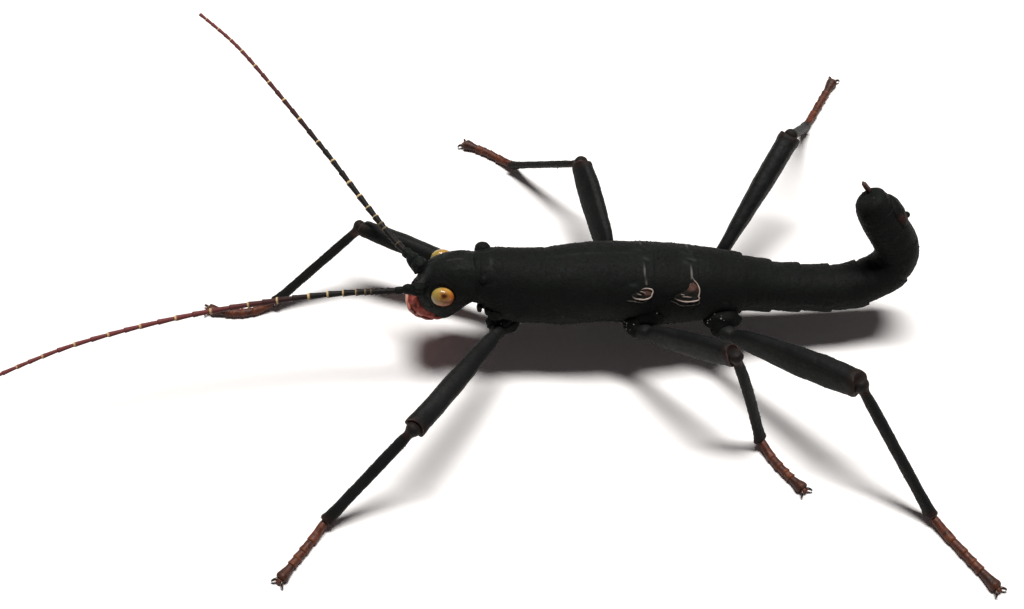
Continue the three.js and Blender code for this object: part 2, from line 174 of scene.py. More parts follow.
def rolled(middle, side, up, halfWidth, halfHeight, rise, sides, power=2.0, grow=1.0):
    # one ring round a frame; grow is a share of growth, for all of it or for each angle
    angle = ringAngles(sides)
    c, s = np.cos(angle), np.sin(angle)
    cc = np.sign(c) * np.abs(c) ** (2 / power)
    ss = np.sign(s) * np.abs(s) ** (2 / power)
    return (
        np.asarray(middle)
        + np.outer(halfWidth * cc * grow, side)
        + np.outer(rise + halfHeight * ss * grow, up)
    )


def tubeMesh(rings, startTip=None, endTip=None):
    # a closed tube through rings that run the same way round
    rings = np.asarray(rings, float)
    count, sides = rings.shape[:2]
    start = rings[0].mean(0) if startTip is None else np.asarray(startTip, float)
    end = rings[-1].mean(0) if endTip is None else np.asarray(endTip, float)
    points = np.concatenate([rings.reshape(-1, 3), [start, end]])
    faces = []
    for r in range(count - 1):
        a, b = r * sides, (r + 1) * sides
        for k in range(sides):
            n = (k + 1) % sides
            faces.append((a + k, a + n, b + n, b + k))
    final = (count - 1) * sides
    for k in range(sides):
        n = (k + 1) % sides
        faces.append((len(points) - 2, n, k))
        faces.append((len(points) - 1, final + k, final + n))
    return points, faces


def capped(values, start=0.0, end=0.0):
    # a tube's values with those of its two end points
    return np.concatenate([values, [start, end]])


def roughened(rows, growth):
    # rings moved out from their own middles by a share that growth gives for each point
    rows = np.array(rows)
    flat = rows.reshape(-1, 3)
    centre = np.repeat(rows.mean(1), rows.shape[1], 0)
    return (centre + (flat - centre) * (1 + growth(flat))[:, None]).reshape(rows.shape)


def roundedLump(middle, sizes, detail, bumps, seed, scale=2.4):
    work = bmesh.new()
    bmesh.ops.create_icosphere(work, subdivisions=detail, radius=1)
    points = np.array([v.co for v in work.verts])
    faces = [tuple(v.index for v in f.verts) for f in work.faces]
    work.free()
    points = points * (1 + bumps * wobble(points, scale, seed))[:, None] * np.asarray(sizes)
    return points + np.asarray(middle), faces


def together(parts):
    points, faces, base = [], [], 0
    for p, f in parts:
        points.append(np.asarray(p))
        faces.extend(tuple(i + base for i in face) for face in f)
        base += len(p)
    return np.concatenate(points), faces


def addObject(name, data):
    made = bpy.data.objects.new(name, data)
    bpy.context.scene.collection.objects.link(made)
    return made


def addMark(mesh, mark, values, kind="FLOAT"):
    # a named value or vector on each point, for the materials and the node trees
    layer = mesh.attributes.new(mark, kind, "POINT")
    layer.data.foreach_set("value" if kind == "FLOAT" else "vector", np.asarray(values, np.float32).ravel())


def storeMesh(name, points, faces, marks=None, material=None):
    # points come in millimetres of the frame
    mesh = bpy.data.meshes.new(name)
    mesh.from_pydata([tuple(p) for p in np.asarray(points) * milli], [], faces)
    mesh.update()
    for mark, values in (marks or {}).items():
        addMark(mesh, mark, values)
    work = bmesh.new()
    work.from_mesh(mesh)
    bmesh.ops.recalc_face_normals(work, faces=work.faces)
    if work.calc_volume(signed=True) < 0:
        bmesh.ops.reverse_faces(work, faces=work.faces)
    work.to_mesh(mesh)
    work.free()
    mesh.polygons.foreach_set("use_smooth", [True] * len(mesh.polygons))
    if material:
        mesh.materials.append(material)
    return addObject(name, mesh)


def settle(piece, nodes):
    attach(piece, "root")
    if nodes:
        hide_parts(*nodes)


def curvePoints(knots, perSpan=40):
    # centripetal curve through the knots, densely sampled
    knots = [np.array(k, float) for k in knots]
    knots = [2 * knots[0] - knots[1]] + knots + [2 * knots[-1] - knots[-2]]
    out = []
    for i in range(1, len(knots) - 2):
        p = knots[i - 1 : i + 3]
        t = [0.0]
        for a, b in zip(p, p[1:]):
            t.append(t[-1] + math.sqrt(np.linalg.norm(b - a)))
        for u in np.linspace(t[1], t[2], perSpan, endpoint=False):
            q = p
            for level in (1, 2, 3):
                q = [
                    (q[j] * (t[j + level] - u) + q[j + 1] * (u - t[j])) / (t[j + level] - t[j])
                    for j in range(len(q) - 1)
                ]
            out.append(q[0])
    out.append(knots[-2])
    return np.array(out)


class PathRun:
    # a line in space read by distance from its start
    def __init__(self, points):
        self.points = np.asarray(points, float)
        steps = np.linalg.norm(np.diff(self.points, axis=0), axis=1)
        self.far = np.concatenate([[0], np.cumsum(steps)])
        self.length = float(self.far[-1])

    def at(self, distance):
        return np.array([np.interp(distance, self.far, self.points[:, k]) for k in range(3)])

    def ahead(self, distance):
        a, b = max(distance - 0.05, 0), min(distance + 0.05, self.length)
        return unit(self.at(b) - self.at(a))


# nodes: an input takes another node's socket, a plain value or a colour of three numbers
def addNode(tree, kind, inputs=None, **settings):
    made = tree.nodes.new(kind)
    for key, value in settings.items():
        setattr(made, key, value)
    for key, value in (inputs or {}).items():
        socket = made.inputs[key]
        if isinstance(value, bpy.types.NodeSocket):
            tree.links.new(value, socket)
        else:
            socket.default_value = (*value, 1) if isinstance(value, tuple) else value
    return made


class Paint:
    # a material's own node tree, its colour built up layer by layer
    def __init__(self, name):
        self.material = bpy.data.materials.new(name)
        self.material.use_nodes = True
        self.tree = self.material.node_tree
        self.shader = self.tree.nodes["Principled BSDF"]
        self.coords = addNode(self.tree, "ShaderNodeTexCoord").outputs["Object"]

    def noise(self, scale, detail, roughness=0.55):
        inputs = {"Vector": self.coords, "Scale": scale, "Detail": detail, "Roughness": roughness}
        return addNode(self.tree, "ShaderNodeTexNoise", inputs).outputs["Fac"]

    def cells(self, scale):
        return addNode(self.tree, "ShaderNodeTexVoronoi", {"Vector": self.coords, "Scale": scale}).outputs

    def mark(self, name):
        return addNode(self.tree, "ShaderNodeAttribute", attribute_name=name).outputs["Fac"]

    def math(self, operation, first, second, clamp=False):
        inputs = {0: first, 1: second}
        return addNode(self.tree, "ShaderNodeMath", inputs, operation=operation, use_clamp=clamp).outputs[0]

    def times(self, first, second):
        return self.math("MULTIPLY", first, second, True)

    def spread(self, source, low, high, toLow=0.0, toHigh=1.0):
        inputs = {"From Min": low, "From Max": high, "To Min": toLow, "To Max": toHigh, "Value": source}
        return addNode(self.tree, "ShaderNodeMapRange", inputs).outputs["Result"]

    def ramp(self, source, stops):
        made = addNode(self.tree, "ShaderNodeValToRGB", {"Fac": source})
        elements = made.color_ramp.elements
        while len(elements) < len(stops):
            elements.new(0.5)
        for element, (place, colour) in zip(elements, stops):
            element.position = place
            element.color = (*colour, 1)
        return made.outputs["Color"]

    def mix(self, share, first, second, blend="MIX"):
        inputs = {0: share, 6: first, 7: second}
        return addNode(self.tree, "ShaderNodeMix", inputs, data_type="RGBA", blend_type=blend).outputs[2]

    def over(self, share, colour):
        self.base = self.mix(share, self.base, colour)

    def specks(self, scale, far, rare):
        # a share that is 1 on small dots, in only a few of the cells
        cells = self.cells(scale)
        near = self.spread(cells["Distance"], 0.05, far, 1.0, 0.0)
        return self.times(near, self.spread(cells["Color"], *rare))

    def bump(self, height, distance, strength=0.6):
        inputs = {"Strength": strength, "Distance": distance, "Height": height}
        made = addNode(self.tree, "ShaderNodeBump", inputs)
        self.tree.links.new(made.outputs["Normal"], self.shader.inputs["Normal"])

    def finish(self, rough, roughLow, roughHigh, specular=None):
        # rough is the pattern that the roughness follows
        self.tree.links.new(self.base, self.shader.inputs["Base Color"])
        roughness = self.spread(rough, 0.3, 0.7, roughLow, roughHigh)
        self.tree.links.new(roughness, self.shader.inputs["Roughness"])
        if specular is not None:
            self.shader.inputs["Specular IOR Level"].default_value = specular
        return self.material


cuticleLook = {
    "dark": (0.0024, 0.0034, 0.0028), "light": (0.0062, 0.0082, 0.0067), "brown": (0.0072, 0.0074, 0.0062),
    "pale": (0.42, 0.38, 0.36), "ashen": (0.11, 0.13, 0.13), "speck": (0.34, 0.34, 0.32),
    "jaw": [(0.3, (0.28, 0.040, 0.032)), (0.5, (0.48, 0.094, 0.070)), (0.72, (0.62, 0.20, 0.15))],
    "rough": (0.62, 0.82), "specular": 0.145, "speckScale": 900,
}
headCuticle = {**cuticleLook, "light": (0.0070, 0.0094, 0.0078), "rough": (0.55, 0.78), "speckScale": 760}
# the hips: a darker, less shiny copy of the skin, painted shade where they sit in the body's shadow
shadedHipCuticle = {
    **cuticleLook, "dark": (0.0019, 0.0025, 0.0021), "light": (0.0040, 0.0048, 0.0040), "specular": 0.1,
    "speckScale": 480,
}
limbLook = {
    "dark": (0.0030, 0.0040, 0.0036), "light": (0.0088, 0.0104, 0.0094), "edge": (0.040, 0.0150, 0.0110),
    "rim": (0.23, 0.125, 0.105), "pink": (0.17, 0.095, 0.08), "speck": (0.30, 0.26, 0.22),
}
footLook = {
    "dark": (0.034, 0.0105, 0.0060), "red": (0.125, 0.031, 0.0145), "tan": (0.25, 0.077, 0.031),
    "black": (0.012, 0.0070, 0.0055),
}


def makeCuticle(name, look):
    # matt black skin with a green-grey cast, fine wrinkles, rare pale specks, and marks for pale lines, grey
    # clouds, painted highlights and painted sheen
    paint = Paint(name)
    fine = paint.noise(5200, 5, 0.65)
    paint.base = paint.mix(paint.spread(paint.noise(420, 3), 0.3, 0.72), look["dark"], look["light"])
    paint.over(paint.spread(paint.noise(900, 2), 0.55, 0.8, 0, 0.7), look["brown"])
    paint.over(paint.spread(fine, 0.35, 0.75, 0, 0.45), look["light"])
    paint.over(paint.specks(look["speckScale"], 0.085, (0.90, 0.93)), look["speck"])
    # grey clouds, with painted sheen and painted highlights
    paint.over(paint.mark("ashen"), look["ashen"])
    # pale lines, and the painted highlights along the keel and the crown's middle line
    paint.over(paint.mark("pale"), look["pale"])
    paint.over(paint.mark("jaw"), paint.ramp(paint.noise(3400, 4), look["jaw"]))
    grain = paint.math("MULTIPLY", paint.cells(7600)["Distance"], -0.6)
    paint.bump(paint.math("ADD", grain, fine), 0.00004, 0.7)
    return paint.finish(fine, *look["rough"], look["specular"])


def makeLimb():
    # black shaft, reddish along its edges and neck, with pinkish rims at the joints
    paint = Paint("limbFinish")
    fine = paint.noise(6000, 5, 0.6)
    blotch = paint.spread(paint.noise(1500, 4), 0.42, 0.66, 0.35, 1.0)
    paint.base = paint.mix(paint.spread(paint.noise(520, 3), 0.3, 0.75), limbLook["dark"], limbLook["light"])
    paint.over(paint.times(paint.mark("redness"), blotch), limbLook["edge"])
    paint.over(paint.times(paint.mark("rim"), paint.spread(fine, 0.3, 0.6, 0.55, 1.0)), limbLook["rim"])
    paint.over(paint.specks(1100, 0.09, (0.93, 0.95)), limbLook["speck"])
    paint.over(paint.times(paint.mark("pink"), paint.spread(fine, 0.3, 0.6, 0.6, 1.0)), limbLook["pink"])
    paint.bump(fine, 0.000035)
    return paint.finish(fine, 0.55, 0.75, 0.2)


def makeFoot():
    # speckled red-brown joints of the foot, darker where the marks say, with painted shade under each joint
    paint = Paint("footFinish")
    fine = paint.noise(9000, 4)
    stops = [(0.3, footLook["dark"]), (0.5, footLook["red"]), (0.72, footLook["tan"])]
    paint.base = paint.ramp(paint.noise(2600, 4, 0.6), stops)
    paint.over(paint.times(paint.mark("shade"), 0.92), footLook["black"])
    paint.over(paint.times(paint.mark("glow"), 0.8), footLook["tan"])
    paint.bump(fine, 0.00003)
    return paint.finish(fine, 0.42, 0.62, 0.3)


def makeSpeck():
    # dry pale grains round the roots of the legs
    paint = Paint("speckFinish")
    fine = paint.noise(2600, 3)
    stops = [(0.35, (0.035, 0.037, 0.034)), (0.55, (0.24, 0.24, 0.22)), (0.7, (0.52, 0.51, 0.47))]
    paint.base = paint.ramp(fine, stops)
    return paint.finish(fine, 0.6, 0.8)


def makeClaw():
    # horn, brown at its root and black at its tip
    paint = Paint("clawFinish")
    stops = [(0.0, (0.05, 0.02, 0.012)), (0.55, (0.016, 0.0085, 0.0065)), (1.0, (0.006, 0.0045, 0.004))]
    paint.base = paint.ramp(paint.mark("along"), stops)
    paint.over(paint.spread(paint.noise(5000, 3), 0.4, 0.7, 0, 0.5), (0.10, 0.042, 0.024))
    return paint.finish(paint.noise(8000, 2), 0.18, 0.3)


def makeFeeler():
    # dark joints with a cream ring at the end of some, redder towards the tip
    paint = Paint("feelerFinish")
    fine = paint.noise(5200, 4)
    paint.base = paint.mix(paint.spread(fine, 0.3, 0.7), (0.0052, 0.0044, 0.0042), (0.0130, 0.0098, 0.0092))
    paint.over(paint.mark("redness"), (0.19, 0.047, 0.046))
    paint.over(paint.times(paint.mark("ring"), paint.spread(fine, 0.25, 0.5, 0.7, 1.0)), (0.80, 0.58, 0.29))
    paint.bump(fine, 0.00002, 0.5)
    return paint.finish(fine, 0.5, 0.7, 0.22)


def makeWing():
    # thin brown-pink flap with a pale thickened edge and vein
    paint = Paint("wingFinish")
    fine = paint.noise(3400, 4)
    stops = [(0.3, (0.006, 0.007, 0.0055)), (0.52, (0.022, 0.019, 0.013)), (0.72, (0.10, 0.07, 0.055))]
    paint.base = paint.ramp(fine, stops)
    paint.over(paint.mark("shade"), (0.0065, 0.0082, 0.006))
    paint.over(paint.times(paint.mark("glow"), paint.spread(fine, 0.3, 0.6, 0.55, 1.0)), (0.20, 0.098, 0.078))
    paint.over(paint.times(paint.mark("rim"), paint.spread(fine, 0.25, 0.5, 0.75, 1.0)), (0.58, 0.46, 0.40))
    paint.bump(fine, 0.00003)
    return paint.finish(fine, 0.32, 0.5)


def makeMouth():
    # brick red plates, paler at their outer edge, dark in the joints between them
    paint = Paint("mouthFinish")
    fine = paint.noise(3600, 4)
    stops = [(0.3, (0.46, 0.062, 0.048)), (0.5, (0.64, 0.130, 0.092)), (0.72, (0.76, 0.26, 0.185))]
    paint.base = paint.ramp(fine, stops)
    paint.over(paint.mark("glow"), (0.82, 0.46, 0.31))
    paint.over(paint.mark("shade"), (0.075, 0.015, 0.015))
    paint.bump(fine, 0.00003, 0.5)
    return paint.finish(fine, 0.26, 0.42)


def makeEye():
    # gold eye: olive-yellow rim, orange low at the back, a small dark spot in the middle, fine facets
    paint = Paint("eyeFinish")
    fine = paint.noise(2400, 4, 0.6)
    streaks = paint.spread(paint.noise(3800, 3), 0.35, 0.6, 0.3, 1.0)
    stops = [(0.3, (0.46, 0.185, 0.027)), (0.5, (0.56, 0.285, 0.048)), (0.7, (0.66, 0.41, 0.105))]
    paint.base = paint.ramp(fine, stops)
    paint.over(paint.mark("olive"), (0.38, 0.30, 0.070))
    paint.over(paint.mark("orange"), (0.52, 0.128, 0.014))
    paint.over(paint.times(paint.mark("band"), streaks), (0.25, 0.085, 0.018))
    paint.over(paint.mark("spot"), (0.045, 0.010, 0.006))
    paint.over(paint.mark("edge"), (0.030, 0.024, 0.012))
    paint.shader.inputs["Coat Weight"].default_value = 0.5
    paint.shader.inputs["Coat Roughness"].default_value = 0.06
    paint.bump(paint.cells(26000)["Distance"], 0.000008, 0.25)
    return paint.finish(fine, 0.34, 0.44, 0.3)


skinFinish, headFinish = makeCuticle("skinFinish", cuticleLook), makeCuticle("headFinish", headCuticle)
hipFinish, limbFinish, footFinish = makeCuticle("hipFinish", shadedHipCuticle), makeLimb(), makeFoot()
speckFinish, clawFinish, feelerFinish = makeSpeck(), makeClaw(), makeFeeler()
wingFinish, mouthFinish, eyeFinish = makeWing(), makeMouth(), makeEye()
print("materials made")


# geometry nodes: parts that repeat along a line or over a surface
def newTree(name, sockets):
    tree = bpy.data.node_groups.new(name, "GeometryNodeTree")
    tree.interface.new_socket(name="Geometry", in_out="INPUT", socket_type="NodeSocketGeometry")
    for label, kind in sockets.items():
        tree.interface.new_socket(name=label, in_out="INPUT", socket_type="NodeSocket" + kind)
    tree.interface.new_socket(name="Geometry", in_out="OUTPUT", socket_type="NodeSocketGeometry")
    return tree, tree.nodes.new("NodeGroupInput").outputs


def endTree(tree, given, placing):
    # what is placed becomes real mesh with the given finish
    placed = addNode(tree, "GeometryNodeInstanceOnPoints", placing)
    real = addNode(tree, "GeometryNodeRealizeInstances", {"Geometry": placed.outputs["Instances"]})
    painting = {"Geometry": real.outputs["Geometry"], "Material": given["Finish"]}
    painted = addNode(tree, "GeometryNodeSetMaterial", painting)
    addNode(tree, "NodeGroupOutput", {"Geometry": painted.outputs["Geometry"]})
    return tree


def readMark(tree, mark, kind):
    made = addNode(tree, "GeometryNodeInputNamedAttribute", {"Name": mark}, data_type=kind)
    return made.outputs["Attribute"]


def turnTo(tree, heading):
    made = addNode(tree, "FunctionNodeAlignRotationToVector", {"Vector": heading}, axis="Z")
    return made.outputs["Rotation"]


def runTree(base, tree, values, name):
    # the modifier's inputs are set first, then its result becomes a plain mesh
    modifier = base.modifiers.new("grow", "NODES")
    modifier.node_group = tree
    for item in tree.interface.items_tree:
        if item.in_out == "INPUT" and item.name in values:
            modifier[item.identifier] = values[item.name]
    base.update_tag()
    bpy.context.view_layer.update()
    solved = base.evaluated_get(bpy.context.evaluated_depsgraph_get())
    mesh = bpy.data.meshes.new_from_object(solved)
    base.modifiers.remove(modifier)
    mesh.name = name
    mesh.polygons.foreach_set("use_smooth", [True] * len(mesh.polygons))
    return addObject(name, mesh)


def growTree():
    # small grains or bristles scattered over a skin where its grit mark says, each sized at random
    tree, given = newTree("grow", {
        "Density": "Float", "Width": "Float", "Height": "Float", "Lean": "Vector", "Seed": "Int",
        "Finish": "Material",
    })

    def times(first, second):
        return addNode(tree, "ShaderNodeMath", {0: first, 1: second}, operation="MULTIPLY").outputs[0]

    density = times(readMark(tree, "grit", "FLOAT"), given["Density"])
    scattering = {"Mesh": given["Geometry"], "Density": density, "Seed": given["Seed"]}
    scatter = addNode(tree, "GeometryNodeDistributePointsOnFaces", scattering).outputs
    toward = addNode(tree, "ShaderNodeVectorMath", {0: scatter["Normal"], 1: given["Lean"]})
    vary = addNode(tree, "FunctionNodeRandomValue", {2: 0.5, 3: 1.4, "Seed": given["Seed"]}).outputs[1]
    wide, high = times(given["Width"], vary), times(given["Height"], vary)
    size = addNode(tree, "ShaderNodeCombineXYZ", {"X": wide, "Y": wide, "Z": high})
    grain = addNode(tree, "GeometryNodeMeshIcoSphere", {"Radius": 1.0, "Subdivisions": 1})
    return endTree(tree, given, {
        "Points": scatter["Points"], "Instance": grain.outputs["Mesh"],
        "Rotation": turnTo(tree, toward.outputs["Vector"]), "Scale": size.outputs["Vector"],
    })


grow = growTree()
grainLook = {
    "body": {"perMm2": 7.0, "width": 0.045, "height": 0.035, "seed": 4},
    "head": {"perMm2": 9.0, "width": 0.045, "height": 0.035, "seed": 7},
    "hip": {"perMm2": 3.6, "width": 0.06, "height": 0.05, "seed": 2},
    "limb": {"perMm2": 5.0, "width": 0.014, "height": 0.11, "seed": 9},
}


def growOn(piece, kind, name, finish, lean=(0.0, 0.0, 0.0), seedStep=0):
    look = grainLook[kind]
    return runTree(piece, grow, {
        "Density": look["perMm2"] / milli**2, "Width": look["width"] * milli,
        "Height": look["height"] * milli, "Lean": lean, "Seed": look["seed"] + seedStep, "Finish": finish,
    }, name)


# trunk: one skin over the neck, the thorax and the abdomen
plateEnds = {
    "prothorax": 9.9, "mesothorax": 17.55, "metathorax": 20.75, "abdomen_1": 24.4, "abdomen_2": 26.7,
    "abdomen_3": 28.9, "abdomen_4": 31.2, "abdomen_5": 33.7, "abdomen_6": 36.1, "abdomen_7": 38.3,
    "abdomen_8": 39.8, "abdomen_9": 41.6, "abdomen_10": 42.9,
}
trunkShape = rowReader([
    [4.9, 1.75, 1.75, 0.1], [5.7, 2.2, 2.15, -0.02], [8, 2.35, 2.3, -0.1], [9.9, 2.5, 2.45, -0.2],
    [11.4, 2.78, 2.64, -0.15], [14.2, 2.98, 2.73, 0.1], [17.5, 2.95, 2.64, 0.25], [20.5, 2.75, 2.4, 0.38],
    [23, 2.42, 2.15, 0.43], [25, 2.08, 1.92, 0.27], [27, 1.9, 1.7, 0.08], [30, 1.8, 1.6, 0.03],
    [33, 1.74, 1.58, 0.06], [34.5, 1.7, 1.52, 0.16], [36, 1.68, 1.5, 0.06], [38, 1.62, 1.56, -0.05],
    [40, 1.56, 1.48, 0.1], [41.4, 1.46, 1.36, 0.17], [42.3, 1.3, 1.22, 0.16], [42.9, 1.02, 0.92, 0.06],
])
skin = {
    "from": 4.72, "to": 42.9, "spacing": 0.11, "sides": 156, "collar": (1.76, 1.86), "collarEnd": 5.12,
    "endFrom": 42.3, "edgeRise": 0.018, "edgeDrop": 0.05, "tailRise": 0.11, "tailFrom": 24, "wrinkle": 0.044,
    "fineWrinkle": 0.018, "granule": 0.02, "keel": 0.03, "keelWidth": 0.035,
    # how far the thorax swells low on each flank, over the first two pairs of hips
    "swellAt": (5.7, 7.0, 8.3, 9.4, 11.5, 14.3, 16.5, 19.0, 22.0, 25.0),
    "swell": (0, 0.5, 0.68, 0.52, 0.32, 0.06, 0.12, 0.42, 0.4, 0),
    # folds along both flanks: degrees of the left and right one, depth, start and stop
    "folds": ((198, 342, 0.025, 20, 33), (212, 328, 0.06, 8, 20), (158, 22, 0.03, 10, 21)),
    # the pale thread above each wing: its places along, its degrees and its tone
    "threads": (((16.76, 16.91), (104, 137), 0.5), ((20.2, 20.26), (107, 129), 0.62)),
    # faint grey clouds and painted sheen: place along, degrees, length, height in degrees and tone; the
    # clouds at 139 to 152 degrees on the thorax are painted sheen on the upper left flank
    "cloudsAndSheen": (
        (10.9, 118, 0.7, 7, 0.1), (10.2, 121, 0.35, 9, 0.09), (5.95, 103, 0.12, 9, 0.22),
        (12.9, 88, 2.6, 1.6, 0.1), (15.8, 139, 0.5, 3, 0.12), (23.1, 176, 0.35, 5, 0.16),
        (14.3, 150, 0.9, 1.0, 0.11), (12.2, 152, 0.8, 0.9, 0.07), (9.15, 197, 0.12, 1.8, 0.4),
        (11.25, 193, 0.08, 1.2, 0.6), (9.9, 201, 0.07, 1.2, 0.5),
    ),
}
neckSeam = 5.2
seams = list(plateEnds.values())[:-1]


def skinPlaces():
    # evenly spaced rings, and four close ones at each seam
    places = list(np.arange(skin["from"], skin["to"], skin["spacing"])) + [skin["to"]]
    for seam in [neckSeam] + seams:
        places = [p for p in places if abs(p - seam) > 0.07]
        places += [seam - 0.05, seam - 0.018, seam + 0.012, seam + 0.05]
    return sorted(places)


def skinSize(along):
    halfWidth, halfHeight, rise = trunkShape(along)
    if along < 5.6:
        share = smooth(along, skin["collarEnd"], 5.3)
        drawnIn = 0.97 + 0.03 * smooth(along, skin["from"], 4.95)
        wide, high = (size * drawnIn for size in skin["collar"])
        halfWidth = wide + (halfWidth - wide) * share
        halfHeight = high + (halfHeight - high) * share
    elif along > skin["endFrom"]:
        # the last ring closes in a round end
        close = math.sqrt(max(1 - ((along - skin["endFrom"]) / 0.66) ** 2, 0.02))
        halfWidth, halfHeight = (size * (0.35 + 0.65 * close) for size in (1.28, 1.2))
    return halfWidth, halfHeight, rise


def seamStep(along, angle):
    # each plate's rear edge stands a little proud of the front edge of the next
    step = np.zeros_like(angle)
    share = 0.2 + 0.8 * np.sin(2 * angle) ** 2
    if along > 34:
        share = share * (1 - 0.75 * smooth(np.sin(angle), -0.2, 0.3)) * (0.4 if along > 36.5 else 1.0)
    for seam in seams:
        d = along - seam
        onTail = seam > skin["tailFrom"]
        if -1.7 < d <= 0:
            step += (skin["tailRise"] if onTail else skin["edgeRise"]) * smooth(d, -1.7, -0.2)
        elif 0 < d < 0.7:
            step -= skin["edgeDrop"] * (1.0 if onTail else 0.35) * (1 - smooth(d, 0.02, 0.6))
    return step * share


def angleGap(angle, degrees):
    d = np.abs(angle - math.radians(degrees)) % (2 * np.pi)
    return np.minimum(d, 2 * np.pi - d)


def skinRings(places):
    # the plain skin: its points, the way out at each, and each one's place along and round the body
    sides = skin["sides"]
    angle = ringAngles(sides)
    rows, out = [], []
    for along in places:
        middle, side, up = bodyAxis(along)
        halfWidth, halfHeight, rise = skinSize(along)
        rows.append(rolled(middle, side, up, halfWidth, halfHeight, rise, sides, 2.06))
        out.append(np.outer(np.cos(angle) / halfWidth, side) + np.outer(np.sin(angle) / halfHeight, up))
    out = np.concatenate(out)
    out /= np.linalg.norm(out, axis=1)[:, None]
    return np.concatenate(rows), out, np.repeat(places, sides), np.tile(angle, len(places))


def skinRelief(places, base, along, around, keelMark):
    # how far each point stands over the plain skin
    onPlates = smooth(along, 5.25, 5.9)
    sheet = np.stack([along * 1.1, np.cos(around) * 2.2, np.sin(around) * 2.2], 1)
    lift = np.concatenate([seamStep(a, ringAngles(skin["sides"])) for a in places])
    wrinkles = wobble(sheet * [2.4, 1, 1], 0.9, 1) * 0.6 + wobble(sheet * [3.4, 1, 1], 1.5, 2) * 0.4
    lift += skin["wrinkle"] * wrinkles * (0.5 + 0.5 * smooth(along, 5, 7))
    lift += skin["fineWrinkle"] * (1 - 2 * np.abs(wobble(sheet * [1.6, 1, 1], 3.2, 3)))
    lift += skin["granule"] * grains(base, 3.4, 4) * smooth(wobble(base, 0.5, 5), -0.25, 0.25)
    lift += skin["keel"] * keelMark
    # broad soft hollows and a slanting crease above each forewing
    lift += 0.05 * wobble(base * [0.5, 1, 1], 0.42, 6) * onPlates
    for degrees, way in ((139, -1), (41, 1)):
        crease = bump(np.degrees(around), degrees + way * (along - 15.6) * 7, 2.6)
        lift -= 0.045 * crease * smooth(along, 14.9, 15.3) * (1 - smooth(along, 16.1, 16.5))
    # the neck is filled in above, so that head and thorax run on
    lift += 0.1 * smooth(np.sin(around), -0.4, 0.2) * bump(along, 5.08, 0.24)
    for left, right, depth, start, stop in skin["folds"]:
        held = depth * smooth(along, start, start + 2) * (1 - smooth(along, stop - 2, stop))
        for degrees in (left, right):
            gap = angleGap(around + math.radians(4) * np.sin(along * 1.9 + degrees), degrees)
            lift += held * (0.5 * bump(gap, 0.19, 0.1) - bump(gap, 0, 0.085))
    for degrees in (216, 324):
        lift += np.interp(along, skin["swellAt"], skin["swell"]) * bump(angleGap(around, degrees), 0, 0.5)
    # furrows of the pronotum: one across, and one that curves down each cheek of the plate
    lift -= 0.05 * bump(along, 7.1 + 0.25 * np.cos(around * 2), 0.13) * smooth(np.sin(around), -0.2, 0.4)
    for degrees in (128, 52):
        arc = np.hypot(along - 5.6, angleGap(around, degrees) / 0.42)
        lift -= 0.06 * bump(arc, 0.75, 0.14) * smooth(along, 5.3, 5.8)
    return lift


def makeSkin():
    places = skinPlaces()
    base, out, along, around = skinRings(places)
    degrees = np.degrees(around)
    # mid-line keel over the thorax, fading on the abdomen
    keelGap = np.abs(degrees - 90 + 3.5 * bump(along, 7.5, 1.6)) * math.pi / 180
    keelMark = bump(keelGap, 0, skin["keelWidth"]) * smooth(along, 5.25, 5.9)
    keelMark *= 1 - 0.65 * smooth(along, 18, 22)
    points = base + out * skinRelief(places, base, along, around, keelMark)[:, None]
    # pale marks: a painted highlight along the keel's crest and the pale thread above each wing; grey painted
    # highlights where the threads end
    pale = 0.09 * keelMark**3 * bump(along, 13, 1.9) * smooth(wobble(base, 0.9, 8), -0.15, 0.3)
    ashen = np.zeros_like(pale)
    glintBreakup = smooth(wobble(base, 2.4, 9), -0.2, 0.45)
    for (a0, a1), (d0, d1), depth in skin["threads"]:
        for turnTo, tone in ((degrees, depth), (180 - degrees, depth * 0.4)):
            share = np.clip((turnTo - d0) / (d1 - d0), 0, 1)
            line = a0 + (a1 - a0) * share
            inside = smooth(turnTo, d0 - 5, d0 + 4) * (1 - smooth(turnTo, d1 - 2, d1 + 3))
            pale = np.maximum(pale, tone * bump(along, line, 0.036) * inside * (0.35 + 0.65 * share))
            points += out * (0.02 * bump(along, line, 0.06) * inside)[:, None]
            # painted highlight: a grey glint where each thread ends, high on the flank
            cloud = np.hypot((along - a0 - 0.08) / 0.62, (turnTo - 98.5) / 5)
            ashen = np.maximum(ashen, 0.5 * tone * bump(cloud, 0, 1) * glintBreakup)
    # grey clouds, and painted sheen where the upper left flank of the thorax catches light
    patches = smooth(wobble(base, 2.0, 12), -0.25, 0.3)
    for a0, d0, long, high, tone in skin["cloudsAndSheen"]:
        cloud = np.hypot((along - a0) / long, (degrees - d0) / high)
        ashen = np.maximum(ashen, tone * bump(cloud, 0, 1) * patches)
    grit = (0.25 + 0.75 * (1 - smooth(along, 18, 26))) * smooth(wobble(base, 0.7, 18), -0.35, 0.35)
    tube = tubeMesh(points.reshape(len(places), skin["sides"], 3))
    return tube, {"pale": capped(pale), "ashen": capped(ashen), "grit": capped(grit)}


# a boss and three small teeth at each front corner of the prothorax
corner = {
    "along": 5.5, "bossOut": 1.57, "bossUp": 1.33, "boss": 0.6, "spineOut": 1.87, "spineUp": -1.05,
    # each tooth: how far behind, outward and down, and its size
    "teeth": (
        (-0.18, 0.06, 0.0, (0.2, 0.46, 0.26)), (0.5, 0.24, 0.14, (0.34, 0.42, 0.36)),
        (1.02, 0.4, 0.3, (0.62, 0.44, 0.5)),
    ),
}


